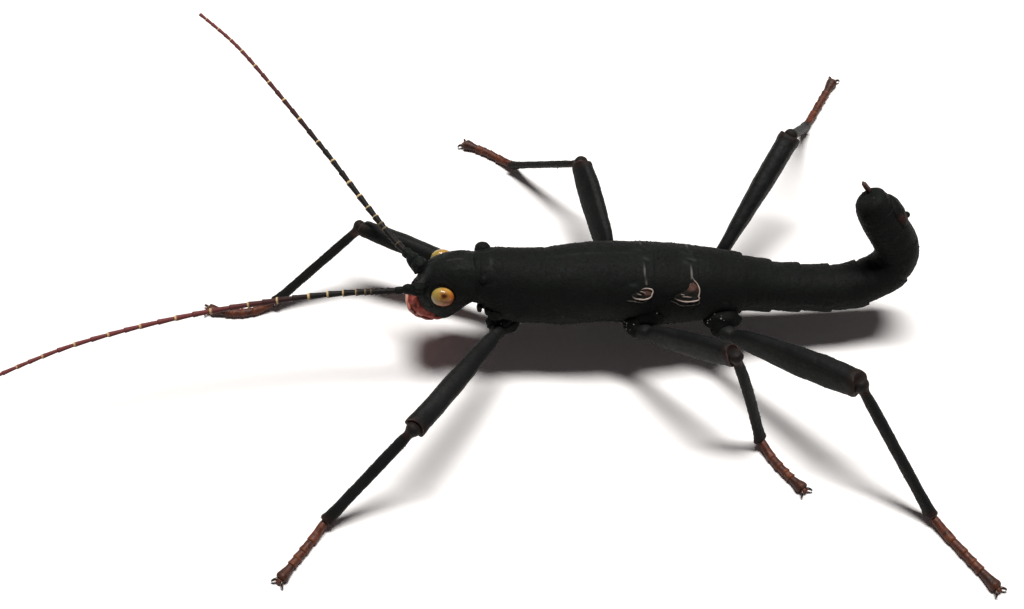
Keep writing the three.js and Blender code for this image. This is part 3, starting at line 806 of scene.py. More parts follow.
def makeCorner(side, bossShare, outShare):
    boss = corner["boss"] * bossShare
    bossAt = (corner["along"], side * corner["bossOut"] * outShare, corner["bossUp"])
    lumps = [roundedLump(bossAt, (boss, boss, boss * 0.96), 4, 0.09, 3 + side)]
    for behind, outward, down, size in corner["teeth"]:
        tooth = (corner["along"] + behind, side * (corner["spineOut"] + outward), corner["spineUp"] - down)
        lumps.append(roundedLump(tooth, size, 3, 0.14, 5 + side + behind))
    return lumps


def makeTrunk():
    tube, marks = makeSkin()
    points, faces = together([tube, *makeCorner(-1, 0.55, 0.94), *makeCorner(1, 1.0, 1.0)])
    plain = np.zeros(len(points) - len(tube[0]))
    marks = {mark: np.concatenate([values, plain]) for mark, values in marks.items()}
    return storeMesh("bodySkin", fromBody(points), faces, marks, skinFinish)


bodySkin = makeTrunk()
bodyGrains = growOn(bodySkin, "body", "bodyGrains", skinFinish)
settle(bodySkin, ["neck", *plateEnds])
settle(bodyGrains, [])
print("trunk skin,", len(bodySkin.data.polygons), "faces")

# feelers: the line of each, where its joints end, how pale the ring at a joint's end is, and its redness
feelers = {
    "left": {
        "line": [
            [0.9, -1.25, 7.45], [-0.7, -1.45, 7.42], [-3.3, -1.38, 7.33], [-6.58, -1.44, 7.15],
            [-14.32, -2.18, 6.7], [-23.99, -4.3, 6.05], [-31, -7.6, 5.75],
        ],
        "joints": [
            2.2, 2.65, 3.02, 3.36, 3.78, 4.43, 5.36, 6.48, 7.86, 8.95, 10.11, 11.1, 12.18, 13.45, 14.88,
            16.1, 17.38, 18.6, 19.93, 21.0, 22.21, 23.4, 24.63, 25.8, 26.95, 27.9, 28.8, 29.8, 30.8, 31.8,
        ],
        "rings": {
            3.36: 0.16, 3.78: 0.2, 4.43: 0.6, 5.36: 1, 6.48: 1, 7.86: 1, 10.11: 1, 12.18: 1, 14.88: 0.85,
            17.38: 1, 19.93: 0.9, 22.21: 0.9, 24.63: 0.9, 26.95: 0.8, 28.8: 0.8, 30.8: 0.7,
        },
        "red": (0.14, 0.5), "knob": (0.5, 0.38, 0.36), "knobSeed": 64, "base": 0.84, "seed": 3,
    },
    "right": {
        "line": [
            [0.95, 0.95, 7.25], [-0.85, 3.25, 7.3], [-5.71, 11.34, 7.32], [-12.31, 21.95, 7.12],
            [-14.5, 25.1, 7.03], [-17.36, 28.47, 6.92],
        ],
        "joints": [
            2.46, 2.95, 3.4, 3.8, 4.2, 4.76, 5.56, 6.63, 7.98, 9.58, 10.8, 12.18, 13.4, 14.53, 16.0,
            17.53, 18.7, 20.06, 21.2, 22.53, 23.6, 24.86, 25.9, 27.03, 27.9, 28.7, 29.6, 30.5, 31.4, 32.2,
        ],
        "rings": {
            2.46: 0.12, 4.2: 0.25, 4.76: 0.25, 5.56: 0.8, 6.63: 0.8, 7.98: 1, 9.58: 1, 12.18: 1, 14.53: 1,
            17.53: 1, 20.06: 1, 22.53: 1, 24.86: 0.9, 27.03: 0.9, 28.7: 0.8, 30.5: 0.7, 32.2: 0.6,
        },
        "red": (0.3, 1.0), "knob": (0.6, 0.62, 0.6), "knobSeed": 65, "base": 1.08, "seed": 7,
    },
}

# head: rows of place along, half width, crown and chin
headShape = rowReader([
    [0.25, 0.6, -1.5, -2.6], [0.45, 0.8, -1.3, -2.9], [0.85, 1.15, -0.2, -3.25], [1.3, 1.48, 0.62, -3.42],
    [1.8, 1.77, 1.22, -3.5], [2.55, 2, 1.6, -3.48], [3.3, 2.05, 1.85, -3.22], [3.8, 1.98, 1.93, -2.68],
    [4.3, 1.92, 1.93, -2.1], [4.9, 1.78, 1.92, -1.6],
])
headLook = {
    "from": 0.28, "rings": 118, "sides": 132, "power": 2.15, "grain": 0.034, "wrinkle": 0.05,
    "suture": 0.06, "fork": 2.15,
    "jawEdge": ((0.4, 0.93, 1.09, 1.6, 2.3, 3.0), (-0.7, -1.0, -1.5, -1.88, -2.12, -2.6)),
    "crest": ((1.5, 2.38, 3.22, 4.9), (0.5, 0.05, -0.1, 0.0)),
}
eyeSize = {"length": 0.82, "depth": 0.6, "height": 0.74, "turn": 6.0}


def headRelief(base, overEdge, behind, top):
    # how far each point stands over the plain head
    x, y, z = base.T
    ay = np.abs(y)
    fork, suture = headLook["fork"], headLook["suture"]
    lift = headLook["wrinkle"] * wobble(base * [1, 1.6, 1.6], 1.1, 11) + 0.014 * wobble(base, 3.4, 12)
    lift += headLook["grain"] * grains(base, 3.6, 13) * smooth(wobble(base, 0.8, 14), -0.35, 0.2)
    # suture down the middle of the crown, forking before the eyes towards the feelers
    lift -= suture * bump(y, 0, 0.07) * top * smooth(x, fork, fork + 0.15)
    lift += 0.03 * bump(ay, 0.16, 0.1) * top * smooth(x, fork, fork + 0.3)
    beforeFork = (1 - smooth(x, fork - 0.05, fork + 0.05)) * smooth(x, 1.1, 1.3)
    lift -= suture * bump(ay, (fork - x) * 0.95, 0.08) * top * beforeFork
    # low swellings either side of the crown behind the eyes, and a ridge from eye to neck
    lift += 0.05 * bump(ay, 0.85, 0.35) * bump(x, 3.5, 0.7) * top
    lift += 0.05 * bump(z, 0.75, 0.16) * smooth(x, 3.2, 3.7) * (ay > 0.5)
    # sockets: a raised ring about each eye with a moat between
    ring = np.hypot((x - eyePlace["along"]) / eyeSize["length"], (z - eyePlace["up"]) / eyeSize["height"])
    lift += (ay > 0.6) * (0.04 * bump(ring, 1.2, 0.1) - 0.07 * bump(ring, 1.0, 0.07))
    # hollow brow between the feelers
    brow = smooth(x, 0.2, 0.45) * (1 - smooth(x, 0.95, 1.55)) * smooth(z, -1.7, -0.7)
    lift -= 0.34 * bump(y, -0.1, 0.62) * brow
    # cheek below the eye, and creases that run down to the jaw
    lift += 0.06 * bump(z, -1.25, 0.35) * bump(x, 2.4, 0.8) * (ay > 0.8)
    lift -= 0.05 * bump(x, 1.35 + 0.22 * (z + 1.4), 0.08) * smooth(-z, 0.7, 1.2) * (ay > 0.5)
    lift -= 0.05 * bump(z, -2.15 - 0.16 * (x - 2), 0.08) * smooth(x, 1.3, 1.7) * (ay > 0.5)
    lift += 0.06 * wobble(base, 1.7, 15) * smooth(-z, 1.8, 2.4)
    # jaws: swollen below a dark groove, from the mouth back to under the eye
    lift += 0.08 * smooth(overEdge, 0.05, 0.4) * behind
    lift -= 0.09 * bump(overEdge, 0, 0.055) * behind * smooth(-z, 0.8, 1.0)
    return lift


def makeHead():
    sides, start, power = headLook["sides"], headLook["from"], headLook["power"]
    angle = ringAngles(sides)
    places = start + (stance["headLength"] - start) * np.linspace(0, 1, headLook["rings"]) ** 1.15
    rows, out = [], []
    for along in places:
        halfWidth, crown, chin = headShape(along)
        height, rise = (crown - chin) / 2, (crown + chin) / 2
        rows.append(rolled((along, 0, 0), acrossWay, upWay, halfWidth, height, rise, sides, power))
        forward = np.full(sides, -0.25 * (1 - along / 5))
        out.append(np.stack([forward, np.cos(angle) / halfWidth, np.sin(angle) / height], 1))
    base, out = np.concatenate(rows), np.concatenate(out)
    out /= np.linalg.norm(out, axis=1)[:, None]
    x, y, z = base.T
    top = smooth(z, 0.1, 0.9)
    overEdge = np.interp(x, *headLook["jawEdge"]) - z
    behind = 1 - smooth(x, 2.45, 2.9)
    points = base + out * headRelief(base, overEdge, behind, top)[:, None]
    # painted highlight along the crown's middle line, carried by the pale mark
    crest = bump(y, np.interp(x, *headLook["crest"]), 0.05) * smooth(x, 1.6, 2.0)
    jaw = smooth(overEdge, 0.04, 0.12) * behind * smooth(wobble(base * [1, 1, 0.6], 2.4, 17), -0.7, -0.1)
    jaw *= 1 - smooth(y, -0.7, -0.4) * smooth(z, -1.75, -1.45)
    marks = {
        "pale": 0.07 * crest * top * smooth(wobble(base, 1.2, 16), -0.5, 0.2),
        "ashen": 0.12 * bump(np.hypot((x - 1.55) / 0.25, (y + 0.35) / 0.4), 0, 1) * top,
        "jaw": jaw, "grit": (1 - jaw) * smooth(wobble(base, 0.9, 19), -0.4, 0.3),
    }
    parts = [tubeMesh(points.reshape(len(places), sides, 3), startTip=(0.24, 0, -2))]
    # a lumpy knob holds each feeler's socket
    for look in feelers.values():
        root = toBody(look["line"][0]) + [0.06, 0, -0.06]
        parts.append(roundedLump(root, look["knob"], 4, 0.14, look["knobSeed"]))
    points, faces = together(parts)
    onKnobs = len(points) - len(parts[0][0])
    for mark, values in marks.items():
        marks[mark] = np.concatenate([capped(values), np.full(onKnobs, float(mark == "grit"))])
    return storeMesh("headShell", fromBody(points), faces, marks, headFinish)


headShell = makeHead()
headGrains = growOn(headShell, "head", "headGrains", headFinish)
settle(headShell, ["head"])
settle(headGrains, [])
print("head shell,", len(headGrains.data.polygons), "faces of grains")


def makeEyeball(name, side):
    rings, sides = 48, 72
    a = 2 * np.pi * np.arange(sides) / sides
    rows = []
    for polar in math.pi * np.arange(1, rings) / rings:
        high = np.full(sides, math.cos(polar))
        rows.append(np.stack([math.sin(polar) * np.cos(a), high, math.sin(polar) * np.sin(a)], 1))
    points, faces = tubeMesh(rows, (0, 1, 0), (0, -1, 0))
    # x ahead is negative, y is out of the head, z is up
    x, y, z = points[:, 0], points[:, 1] * side, points[:, 2]
    fromSpot = np.sqrt(((x - 0.15) / 0.25) ** 2 + ((z - 0.70) / 0.19) ** 2 + ((y - 0.66) / 0.28) ** 2)
    streak = z - 0.33 + 0.5 * (x + 0.11)
    aroundSpot = 0.95 * np.exp(-((fromSpot / 2.3) ** 4))
    marks = {
        "spot": np.exp(-((fromSpot / 1.1) ** 4)),
        "band": np.maximum(0.85 * bump(streak, 0, 0.15) * smooth(x, -0.45, 0.1), aroundSpot),
        "olive": smooth(-x * 0.8 + z * 0.35, 0.15, 0.8) * 0.8,
        "orange": smooth(x * 0.8 - streak * 0.5, -0.1, 0.45),
        "edge": (1 - smooth(y, -0.02, 0.12)) * (1 - smooth(z, 0.2, 0.5)),
    }
    points = points * [eyeSize["length"], eyeSize["depth"], eyeSize["height"]]
    t = math.radians(side * eyeSize["turn"])
    points = points @ np.array([[math.cos(t), -math.sin(t), 0], [math.sin(t), math.cos(t), 0], [0, 0, 1]]).T
    points += [eyePlace["along"], side * eyePlace["out"], eyePlace["up"]]
    return storeMesh(name, fromBody(points), faces, marks, eyeFinish)


settle(makeEyeball("eyeLeft", -1), ["eye_left"])
settle(makeEyeball("eyeRight", 1), ["eye_right"])
print("eyes")

# mouth: lip, jaws and jointed palps
mouthLook = {
    "line": [
        [0.5, 0, -1.72], [0.36, 0, -2.05], [0.55, 0, -2.6], [1.1, 0, -3.08], [1.8, 0, -3.27], [2.5, 0, -3.27],
    ],
    "halfWidth": 1.14, "halfThickness": 0.31, "grooves": (0.22, 0.42, 0.6, 0.78), "rings": 76, "sides": 72,
    # each palp: its knots on the left as place, out and up, where its joints end, and its radius
    "palps": (
        (
            [(1.1, 0.95, -2.5), (0.94, 1.02, -2.75), (1.0, 0.94, -3.04), (1.35, 0.82, -3.27)],
            (0.2, 0.42, 0.7, 1), 0.14,
        ),
        (
            [(1.75, 0.72, -3.2), (1.5, 0.78, -3.44), (1.72, 0.62, -3.56), (2.1, 0.5, -3.56)],
            (0.33, 0.66, 1), 0.115,
        ),
    ),
}


def makeMouthBand():
    line = PathRun(curvePoints(mouthLook["line"]))
    sides = mouthLook["sides"]
    outside = np.cos(ringAngles(sides))
    flank = smooth(np.abs(np.sin(ringAngles(sides))), 0.8, 1)
    rows, glow, shade = [], [], []
    for share in np.linspace(0, 1, mouthLook["rings"]):
        outward = unit(np.cross(line.ahead(share * line.length), acrossWay))
        if outward[0] > 0 or (abs(outward[0]) < 0.2 and outward[2] > 0):
            outward = -outward
        width = np.interp(share, [0, 0.08, 0.2, 0.85, 0.95, 1], [0.4, 0.66, 0.95, 1, 0.86, 0.55])
        thick = np.interp(share, [0, 0.05, 0.12, 0.92, 1], [0.45, 0.85, 1, 1, 0.5])
        groove = sum(bump(share, g, 0.018) for g in mouthLook["grooves"])
        thick *= mouthLook["halfThickness"] * (1 + 0.08 * math.sin(share * math.pi * 9) - 0.17 * groove)
        width *= mouthLook["halfWidth"]
        rows.append(rolled(line.at(share * line.length), outward, acrossWay, thick, width, 0, sides, 2.5))
        glow.append(smooth(outside, 0.35, 0.95) * (0.75 - 0.6 * share) + 0.25 * flank * (share < 0.35))
        dark = 0.75 * groove + 0.85 * smooth(-outside, -0.15, 0.35) + 0.5 * bump(share, 0, 0.05)
        shade.append(np.clip(dark, 0, 1))
    middleLine = bump(np.concatenate(rows)[:, 1], 0, 0.06)

    def growth(flat):
        return 1.8 * (0.03 * wobble(flat, 2.3, 21) + 0.012 * wobble(flat, 5, 22) - 0.06 * middleLine)

    shade = np.clip(np.concatenate(shade) + 0.5 * middleLine, 0, 1)
    return tubeMesh(roughened(rows, growth)), capped(np.concatenate(glow)), capped(shade, 0.6, 0.3)


def makePalp(knots, joints, radius):
    # a chain of short barrels along a line: each swells and is pinched where the next begins
    line = PathRun(curvePoints(knots))
    sides = 20
    rows, glow, shade = [], [], []
    ends = np.array([0, *joints]) * line.length
    for k, (a, b) in enumerate(zip(ends, ends[1:])):
        for s in np.linspace(0.0, 1.0, 8):
            distance = a + (b - a) * (0.02 + 0.96 * s)
            size = radius * (1 - 0.08 * k) * (0.8 + 0.2 * math.sin(math.pi * min(max(s, 0.07), 0.9)) ** 0.5)
            if s == 1.0 and k == len(joints) - 1:
                size *= 0.6
            ahead = line.ahead(distance)
            side = unit(np.cross(ahead, [0.05, 0.1, 1.0]))
            rows.append(rolled(line.at(distance), side, np.cross(side, ahead), size, size, 0, sides))
            glow.append(np.full(sides, 0.55 * smooth(s, 0.6, 1.0)))
            shade.append(np.full(sides, 0.8 * (1 - smooth(s, 0.0, 0.16))))
    return tubeMesh(rows), capped(np.concatenate(glow)), capped(np.concatenate(shade))


def makeMouthparts():
    made = [makeMouthBand()]
    for side in (-1, 1):
        for knots, joints, radius in mouthLook["palps"]:
            made.append(makePalp([[x, side * y, z] for x, y, z in knots], joints, radius))
    for side in (-1, 1):
        lump = roundedLump((1.28, side * 1.02, -2.52), (0.42, 0.24, 0.5), 3, 0.12, 30 + side)
        x, z = lump[0][:, 0], lump[0][:, 2]
        made.append((lump, 0.25 * smooth(z, -2.6, -2.2), 0.75 * smooth(x, 1.25, 1.55)))
    meshes, glow, shade = zip(*made)
    points, faces = together(meshes)
    marks = {"glow": np.concatenate(glow), "shade": np.concatenate(shade)}
    return storeMesh("mouthparts", fromBody(points), faces, marks, mouthFinish)


settle(makeMouthparts(), ["mouth"])
print("mouthparts")


# feelers: a chain of ringed joints on a lumpy root
flagellum = {"from": 1.58, "rootRadius": 0.265, "tipRadius": 0.14, "overlap": 0.03, "shortest": 0.3}


def feelerTree():
    # one barrel-shaped joint set on every point of a chain, turned and stretched to fit it
    tree, given = newTree("feelerJoints", {"Joint": "Object", "Finish": "Material"})
    chain = addNode(tree, "GeometryNodeMeshToPoints", {"Mesh": given["Geometry"]})
    joint = addNode(tree, "GeometryNodeObjectInfo", {"Object": given["Joint"]})
    return endTree(tree, given, {
        "Points": chain.outputs["Points"], "Instance": joint.outputs["Geometry"],
        "Rotation": turnTo(tree, readMark(tree, "heading", "FLOAT_VECTOR")),
        "Scale": readMark(tree, "stretch", "FLOAT_VECTOR"),
    })


def feelerJoint():
    # one unit joint: radius 1 and length 1 up Z, waisted at its root and flared at its end
    profile = (
        (0.0, 0.66), (0.05, 0.78), (0.3, 0.86), (0.62, 0.93), (0.84, 1.02), (0.93, 1.08), (0.975, 1.05),
        (1.0, 0.86),
    )
    rows = [rolled((0, 0, z), np.array([1.0, 0, 0]), acrossWay, r, r, 0, 14) for z, r in profile]
    points, faces = tubeMesh(rows)
    return storeMesh("feelerJointUnit", points / milli, faces, {"reach": np.clip(points[:, 2], 0, 1)})


def readBack(mesh, mark, width=1):
    values = np.zeros(len(mesh.vertices) * width, np.float32)
    mesh.attributes[mark].data.foreach_get("value" if width == 1 else "vector", values)
    return values.reshape(-1, width)[:, -1]


def makeFlagellum(word, look):
    line = PathRun(curvePoints(look["line"], 60))
    rootRadius, tipRadius = flagellum["rootRadius"], flagellum["tipRadius"]
    ends = [e for e in look["joints"] if e < line.length - flagellum["shortest"]] + [line.length]
    points, heading, stretch, ringed, redness = [], [], [], [], []
    for a, b in zip([flagellum["from"]] + ends, ends):
        p, q = line.at(a), line.at(b + flagellum["overlap"])
        share = max(a - 2, 0) / (line.length - 2)
        radius = (rootRadius + (tipRadius - rootRadius) * share**0.8) * milli
        points.append(tuple((p + frameShift) * milli))
        heading.append(q - p)
        stretch.append((radius, radius, np.linalg.norm(q - p) * milli))
        ringed.append(look["rings"].get(b, 0.0))
        redness.append(smooth(share, *look["red"]))
    mesh = bpy.data.meshes.new("chain")
    mesh.from_pydata(points, [(i, i + 1) for i in range(len(points) - 1)], [])
    addMark(mesh, "heading", heading, "FLOAT_VECTOR")
    addMark(mesh, "stretch", stretch, "FLOAT_VECTOR")
    addMark(mesh, "ringed", ringed)
    addMark(mesh, "redness", redness)
    chain = addObject("chain", mesh)
    piece = runTree(chain, jointTree, {"Joint": unitJoint, "Finish": feelerFinish}, "feeler" + word)
    bpy.data.objects.remove(chain)
    # the pale ring is a band of a set width at the joint's end
    made = piece.data
    length = readBack(made, "stretch", 3) / milli
    fromEnd = (1 - readBack(made, "reach")) * length
    wide = np.where(length < 1.0, 0.07, 0.115)
    addMark(made, "ring", readBack(made, "ringed") * (1 - smooth(fromEnd, wide, wide + 0.05)))
    for mark in ("heading", "stretch"):
        made.attributes.remove(made.attributes[mark])
    return piece


def makeFeelerBase(word, look):
    # lumpy scape and pedicel
    line = PathRun(curvePoints(look["line"], 60))
    profile = rowReader([
        [0, 0.5], [0.35, 0.47], [0.6, 0.46], [0.85, 0.42], [1.0, 0.36], [1.08, 0.29], [1.16, 0.31],
        [1.35, 0.34], [1.55, 0.32], [1.68, 0.22],
    ])
    rows = []
    for distance in np.linspace(0, 1.68, 42):
        ahead = line.ahead(distance)
        side = unit(np.cross(upWay, ahead))
        size = profile(distance)[0] * look["base"]
        middle = line.at(distance) - 0.42 * (1 - smooth(distance, 0.0, 0.75)) * upWay
        rows.append(rolled(middle, side, np.cross(ahead, side), size, size, 0, 44))
    seed = look["seed"]
    rows = roughened(rows, lambda flat: 0.10 * wobble(flat, 2.6, seed) + 0.07 * grains(flat, 4.4, seed))
    points, faces = tubeMesh(rows)
    return storeMesh("feelerBase" + word, points + frameShift, faces, None, headFinish)


unitJoint = feelerJoint()
jointTree = feelerTree()
for word, look in feelers.items():
    settle(makeFlagellum(word.capitalize(), look), ["antenna_" + word])
    settle(makeFeelerBase(word.capitalize(), look), ["antenna_base_" + word])
bpy.data.objects.remove(unitJoint)
print("feelers")

# wings: two small flaps on each flank, with a pale thickened hem
# each hem point is [along, degrees, how far it stands]; the front and top edges sink into the skin
wings = {
    "forewing": {
        "hem": [
            [15.9, 153, 0.5], [16.26, 158.1, 0.9], [16.77, 159.2, 1], [17.19, 157, 1], [17.35, 151.4, 1],
            [17.29, 144.4, 0.9], [16.93, 142.8, 0.6], [16.5, 144.2, 0.2], [16.15, 148, 0.05],
        ],
        "bright": [
            [15.96, 154.3], [16.26, 158.1], [16.77, 159.2], [17.19, 157], [17.35, 151.4], [17.29, 144.4],
            [16.93, 143], [16.57, 144.7],
        ],
        "faint": [[15.64, 162.3], [16.22, 163.5], [16.66, 165.3], [17.07, 162.6]],
        "inner": [[[16.3, 151], [16.62, 152.6]], [[16.45, 147.2], [16.75, 148.6], [16.9, 152]]],
        "patch": [16.97, 149.6, 0.34, 4.2],
    },
    "hindwing": {
        "hem": [
            [19.03, 158.4, 0.5], [19.42, 162.2, 0.9], [20.02, 164.7, 1], [20.54, 164.1, 1], [20.75, 156.3, 1],
            [20.79, 146.1, 1], [20.59, 136.2, 0.8], [20.34, 130.6, 0.5], [20.05, 134.5, 0.15],
            [19.62, 144, 0.05], [19.2, 152, 0.1],
        ],
        "bright": [
            [19.03, 158.4], [19.42, 162.2], [20.02, 164.7], [20.54, 164.1], [20.75, 156.3], [20.79, 146.1],
            [20.59, 136.2], [20.37, 131.4], [20.26, 127.2],
        ],
        "faint": [[18.82, 164.2], [19.28, 168.4], [19.93, 173.9], [20.52, 173.7], [20.84, 165.7]],
        "inner": [[[19.42, 152], [19.74, 153.8]], [[19.54, 156], [19.9, 156.6], [20.28, 157.7]]],
        "patch": [20.25, 141.0, 0.42, 7.5],
    },
}
# the rings of a flap from the hem in to its middle: share of the hem's size, and how far each stands
flap = {
    "rings": (
        (0.96, -0.7), (1.0, 0.5), (0.97, 0.75), (0.88, 0.82), (0.72, 0.86), (0.54, 0.9), (0.36, 0.95),
        (0.18, 0.98),
    ),
    "stand": 0.16, "points": 72, "rightStand": 0.35, "rightTone": 0.4, "leftLift": 0.02,
}


def onFlank(along, degrees, stand, side):
    # a point over the skin of the flank; degrees count from the right side over the back to the left
    middle, across, up = bodyAxis(along)
    halfWidth, halfHeight, rise = skinSize(along)
    a = math.radians(degrees if side < 0 else 180 - degrees)
    out, high = (halfWidth + stand) * math.cos(a), rise + (halfHeight + stand) * math.sin(a)
    return middle + across * out + up * high


def closedCurve(knots, count):
    n = len(knots)
    out = []
    for i in range(count):
        k, u = divmod(i / count * n, 1)
        p0, p1, p2, p3 = (np.array(knots[(int(k) + j - 1) % n], float) for j in range(4))
        square, cube = 2 * p0 - 5 * p1 + 4 * p2 - p3, 3 * p1 - p0 - 3 * p2 + p3
        out.append(0.5 * (2 * p1 + (p2 - p0) * u + square * u * u + cube * u**3))
    return np.array(out)


def makeFlap(look, side, tall):
    hem = closedCurve(look["hem"], flap["points"])
    centre = hem.mean(0)
    patchAlong, patchTurn, patchLong, patchHigh = look["patch"]
    rows, glow, shade = [], [], []
    for inner, stand in flap["rings"]:
        row = []
        for a, d, weight in centre + (hem - centre) * inner:
            bumpy = 0.05 * noise.noise(Vector((a * 3.5, d * 0.35, side * 3)))
            bumpy += 0.035 * noise.noise(Vector((a * 8, d * 0.8, 4 + side)))
            height = tall * stand * (weight * inner + 0.55 * (1 - inner)) - (0.06 if stand < 0 else 0)
            row.append(onFlank(a, d, height + bumpy * tall * 5 * weight, side))
            away = math.hypot((a - patchAlong) / patchLong, (d - patchTurn) / patchHigh)
            glow.append(0.85 * math.exp(-(away**4)))
            shade.append(0.9 - 0.35 * smooth(noise.noise(Vector((a * 6, d * 0.6, 9))), 0.0, 0.4))
        rows.append(row)
    return tubeMesh(rows), capped(glow), capped(shade)


def makeThread(knots, radius, tone, stand, side):
    # a pale thread over the flap, thin at both ends
    line = curvePoints([[*knot, 0] for knot in knots], 14)
    path = PathRun([onFlank(a, d, stand, side) for a, d, _ in line])
    rows, rim = [], []
    for s in np.linspace(0, 1, 54):
        ahead = path.ahead(s * path.length)
        across = unit(np.cross(ahead, [0.1, side, 0.3]))
        size = radius * (0.35 + 0.65 * math.sin(math.pi * min(max(s, 0.02), 0.98)) ** 0.4)
        size *= 1 + 0.14 * math.sin(s * 37 + side) + 0.1 * noise.noise(Vector((s * 9, radius * 50, side)))
        middle = path.at(s * path.length)
        rows.append(rolled(middle, across, np.cross(across, ahead), size, size * 0.8, 0, 12))
        fade = 0.15 + 0.85 * smooth(s, 0.0, 0.2) * (1 - 0.8 * smooth(s, 0.8, 1.0))
        rim.extend([tone * fade] * 12)
    return tubeMesh(rows), capped(rim)


def makeWingPiece(name, look, side):
    tall = flap["stand"] * (flap["rightStand"] if side > 0 else 1.0)
    lobe, glow, shade = makeFlap(look, side, tall)
    parts, rims = [lobe], [np.zeros(len(glow))]
    threads = [(look["bright"], 0.052, 1.0, 1.0), (look["faint"], 0.04, 0.1, 0.12)]
    threads += [(line, 0.042, 0.45, 0.85) for line in look["inner"]]
    for knots, radius, tone, stand in threads:
        over = tall * stand + (flap["leftLift"] if side < 0 else 0.0)
        thread, rim = makeThread(knots, radius, tone * (flap["rightTone"] if side > 0 else 1.0), over, side)
        parts.append(thread)
        rims.append(rim)
    points, faces = together(parts)
    rim = np.concatenate(rims)
    plain = np.zeros(len(rim) - len(glow))
    marks = {"glow": np.concatenate([glow, plain]), "shade": np.concatenate([shade, plain]), "rim": rim}
    return storeMesh(name, fromBody(points), faces, marks, wingFinish)


for word, look in wings.items():
    for sideWord, side in (("Left", -1), ("Right", 1)):
        settle(makeWingPiece(word + sideWord, look, side), [f"{word}_{sideWord.lower()}"])
print("wings")

# tail end: the cup under the ninth ring, with a wart and a reddish patch, and the two cerci
cup = {
    "rows": [
        [39.2, 0.6, 0.35], [39.5, 0.95, 0.55], [39.8, 1.1, 0.62], [40.6, 1.25, 0.7], [41.4, 1.1, 0.6],
        [41.9, 0.6, 0.4],
    ],
    "rise": -0.9, "patch": (34.88, 0.24, 6.84), "wart": (35.58, 1.28, 6.36), "wartSize": 0.25,
}
cerci = {
    "from": 42.2, "out": 0.5, "up": -0.1, "root": 0.29, "tip": 0.18,
    "left": {"to": 42.97, "redness": 0.2, "pink": 0.0}, "right": {"to": 43.87, "redness": 0.9, "pink": 0.85},
}


def makeCup():
    reader = rowReader(cup["rows"])
    rows = []
    for along in np.linspace(cup["rows"][0][0], cup["rows"][-1][0], 54):
        middle, side, up = bodyAxis(along)
        halfWidth, halfHeight = reader(along)
        rows.append(rolled(middle, side, up, halfWidth, halfHeight, cup["rise"], 60))
    rows = roughened(rows, lambda flat: 0.07 * wobble(flat, 1.8, 41) + 0.06 * grains(flat, 2.6, 42))
    wart = roundedLump(cup["wart"], [cup["wartSize"]] * 3, 3, 0.06, 74)
    points, faces = together([tubeMesh(rows), wart])
    fromPatch = np.linalg.norm(points - cup["patch"], axis=1)
    marks = {"jaw": 0.07 * (1 - smooth(fromPatch, 0.1, 0.6))}
    return storeMesh("tailCup", fromBody(points), faces, marks, skinFinish)


def makeCercus(word, side):
    look, sides = cerci[word], 28
    rows, redness, pink = [], [], []
    for s in np.linspace(0, 1, 30):
        middle, across, up = bodyAxis(cerci["from"] + (look["to"] - cerci["from"]) * s)
        middle = middle + across * side * cerci["out"] + up * cerci["up"]
        size = cerci["root"] + (cerci["tip"] - cerci["root"]) * s**0.8
        size *= 1 - 0.55 * smooth(s, 0.88, 1.0)
        rows.append(rolled(middle, across, up, size, size * 0.9, 0, sides))
        redness += [look["redness"] * smooth(s, 0.3, 0.55)] * sides
        pink += [look["pink"] * smooth(s, 0.4, 0.75)] * sides
    points, faces = tubeMesh(roughened(rows, lambda flat: 0.08 * wobble(flat, 3, 50 + side)))
    marks = {"redness": capped(redness, 0, redness[-1]), "pink": capped(pink, 0, pink[-1])}
    return storeMesh("cercus" + word.capitalize(), fromBody(points), faces, marks, limbFinish)


settle(makeCup(), ["subgenital_plate"])
for word, side in (("left", -1), ("right", 1)):
    settle(makeCercus(word, side), ["cercus_" + word])
print("tail end")

# legs
legPairs = {
    "fore": {
        "root": (7.1, 2.05, -2.8), "femur": 11.35, "tibia": 9.15, "tarsus": 5.3, "thick": 0.78, "deep": 0.74,
        "slim": (0.72, 0.93), "shin": (0.42, 0.36), "bow": 0.16, "seed": 10, "leastGrit": 0.6,
        "lumpAt": (0.05, -0.35, 0.05), "lump": (1.22, 0.92, 0.86),
    },
    "mid": {
        "root": (16.15, 3.3, -1.6), "femur": 8.95, "tibia": 8.6, "tarsus": 4.95, "thick": 0.62, "deep": 1.05,
        "slim": (0.76, 0.92), "shin": (0.46, 0.28), "bow": 0.0, "seed": 20, "leastGrit": 0.0,
        "lumpAt": (0.75, -0.9, 0.65), "lump": (1.3, 0.98, 0.88),
    },
    "hind": {
        "root": (22.85, 3.25, -1.45), "femur": 11.85, "tibia": 10.95, "tarsus": 6.6, "thick": 0.82,
        "deep": 1.16, "slim": (0.6, 0.83), "shin": (0.35, 0.41), "bow": 0.0, "seed": 30, "leastGrit": 0.0,
        "lumpAt": (0.15, -0.7, 0.4), "lump": (1.35, 0.92, 0.8),
    },
}
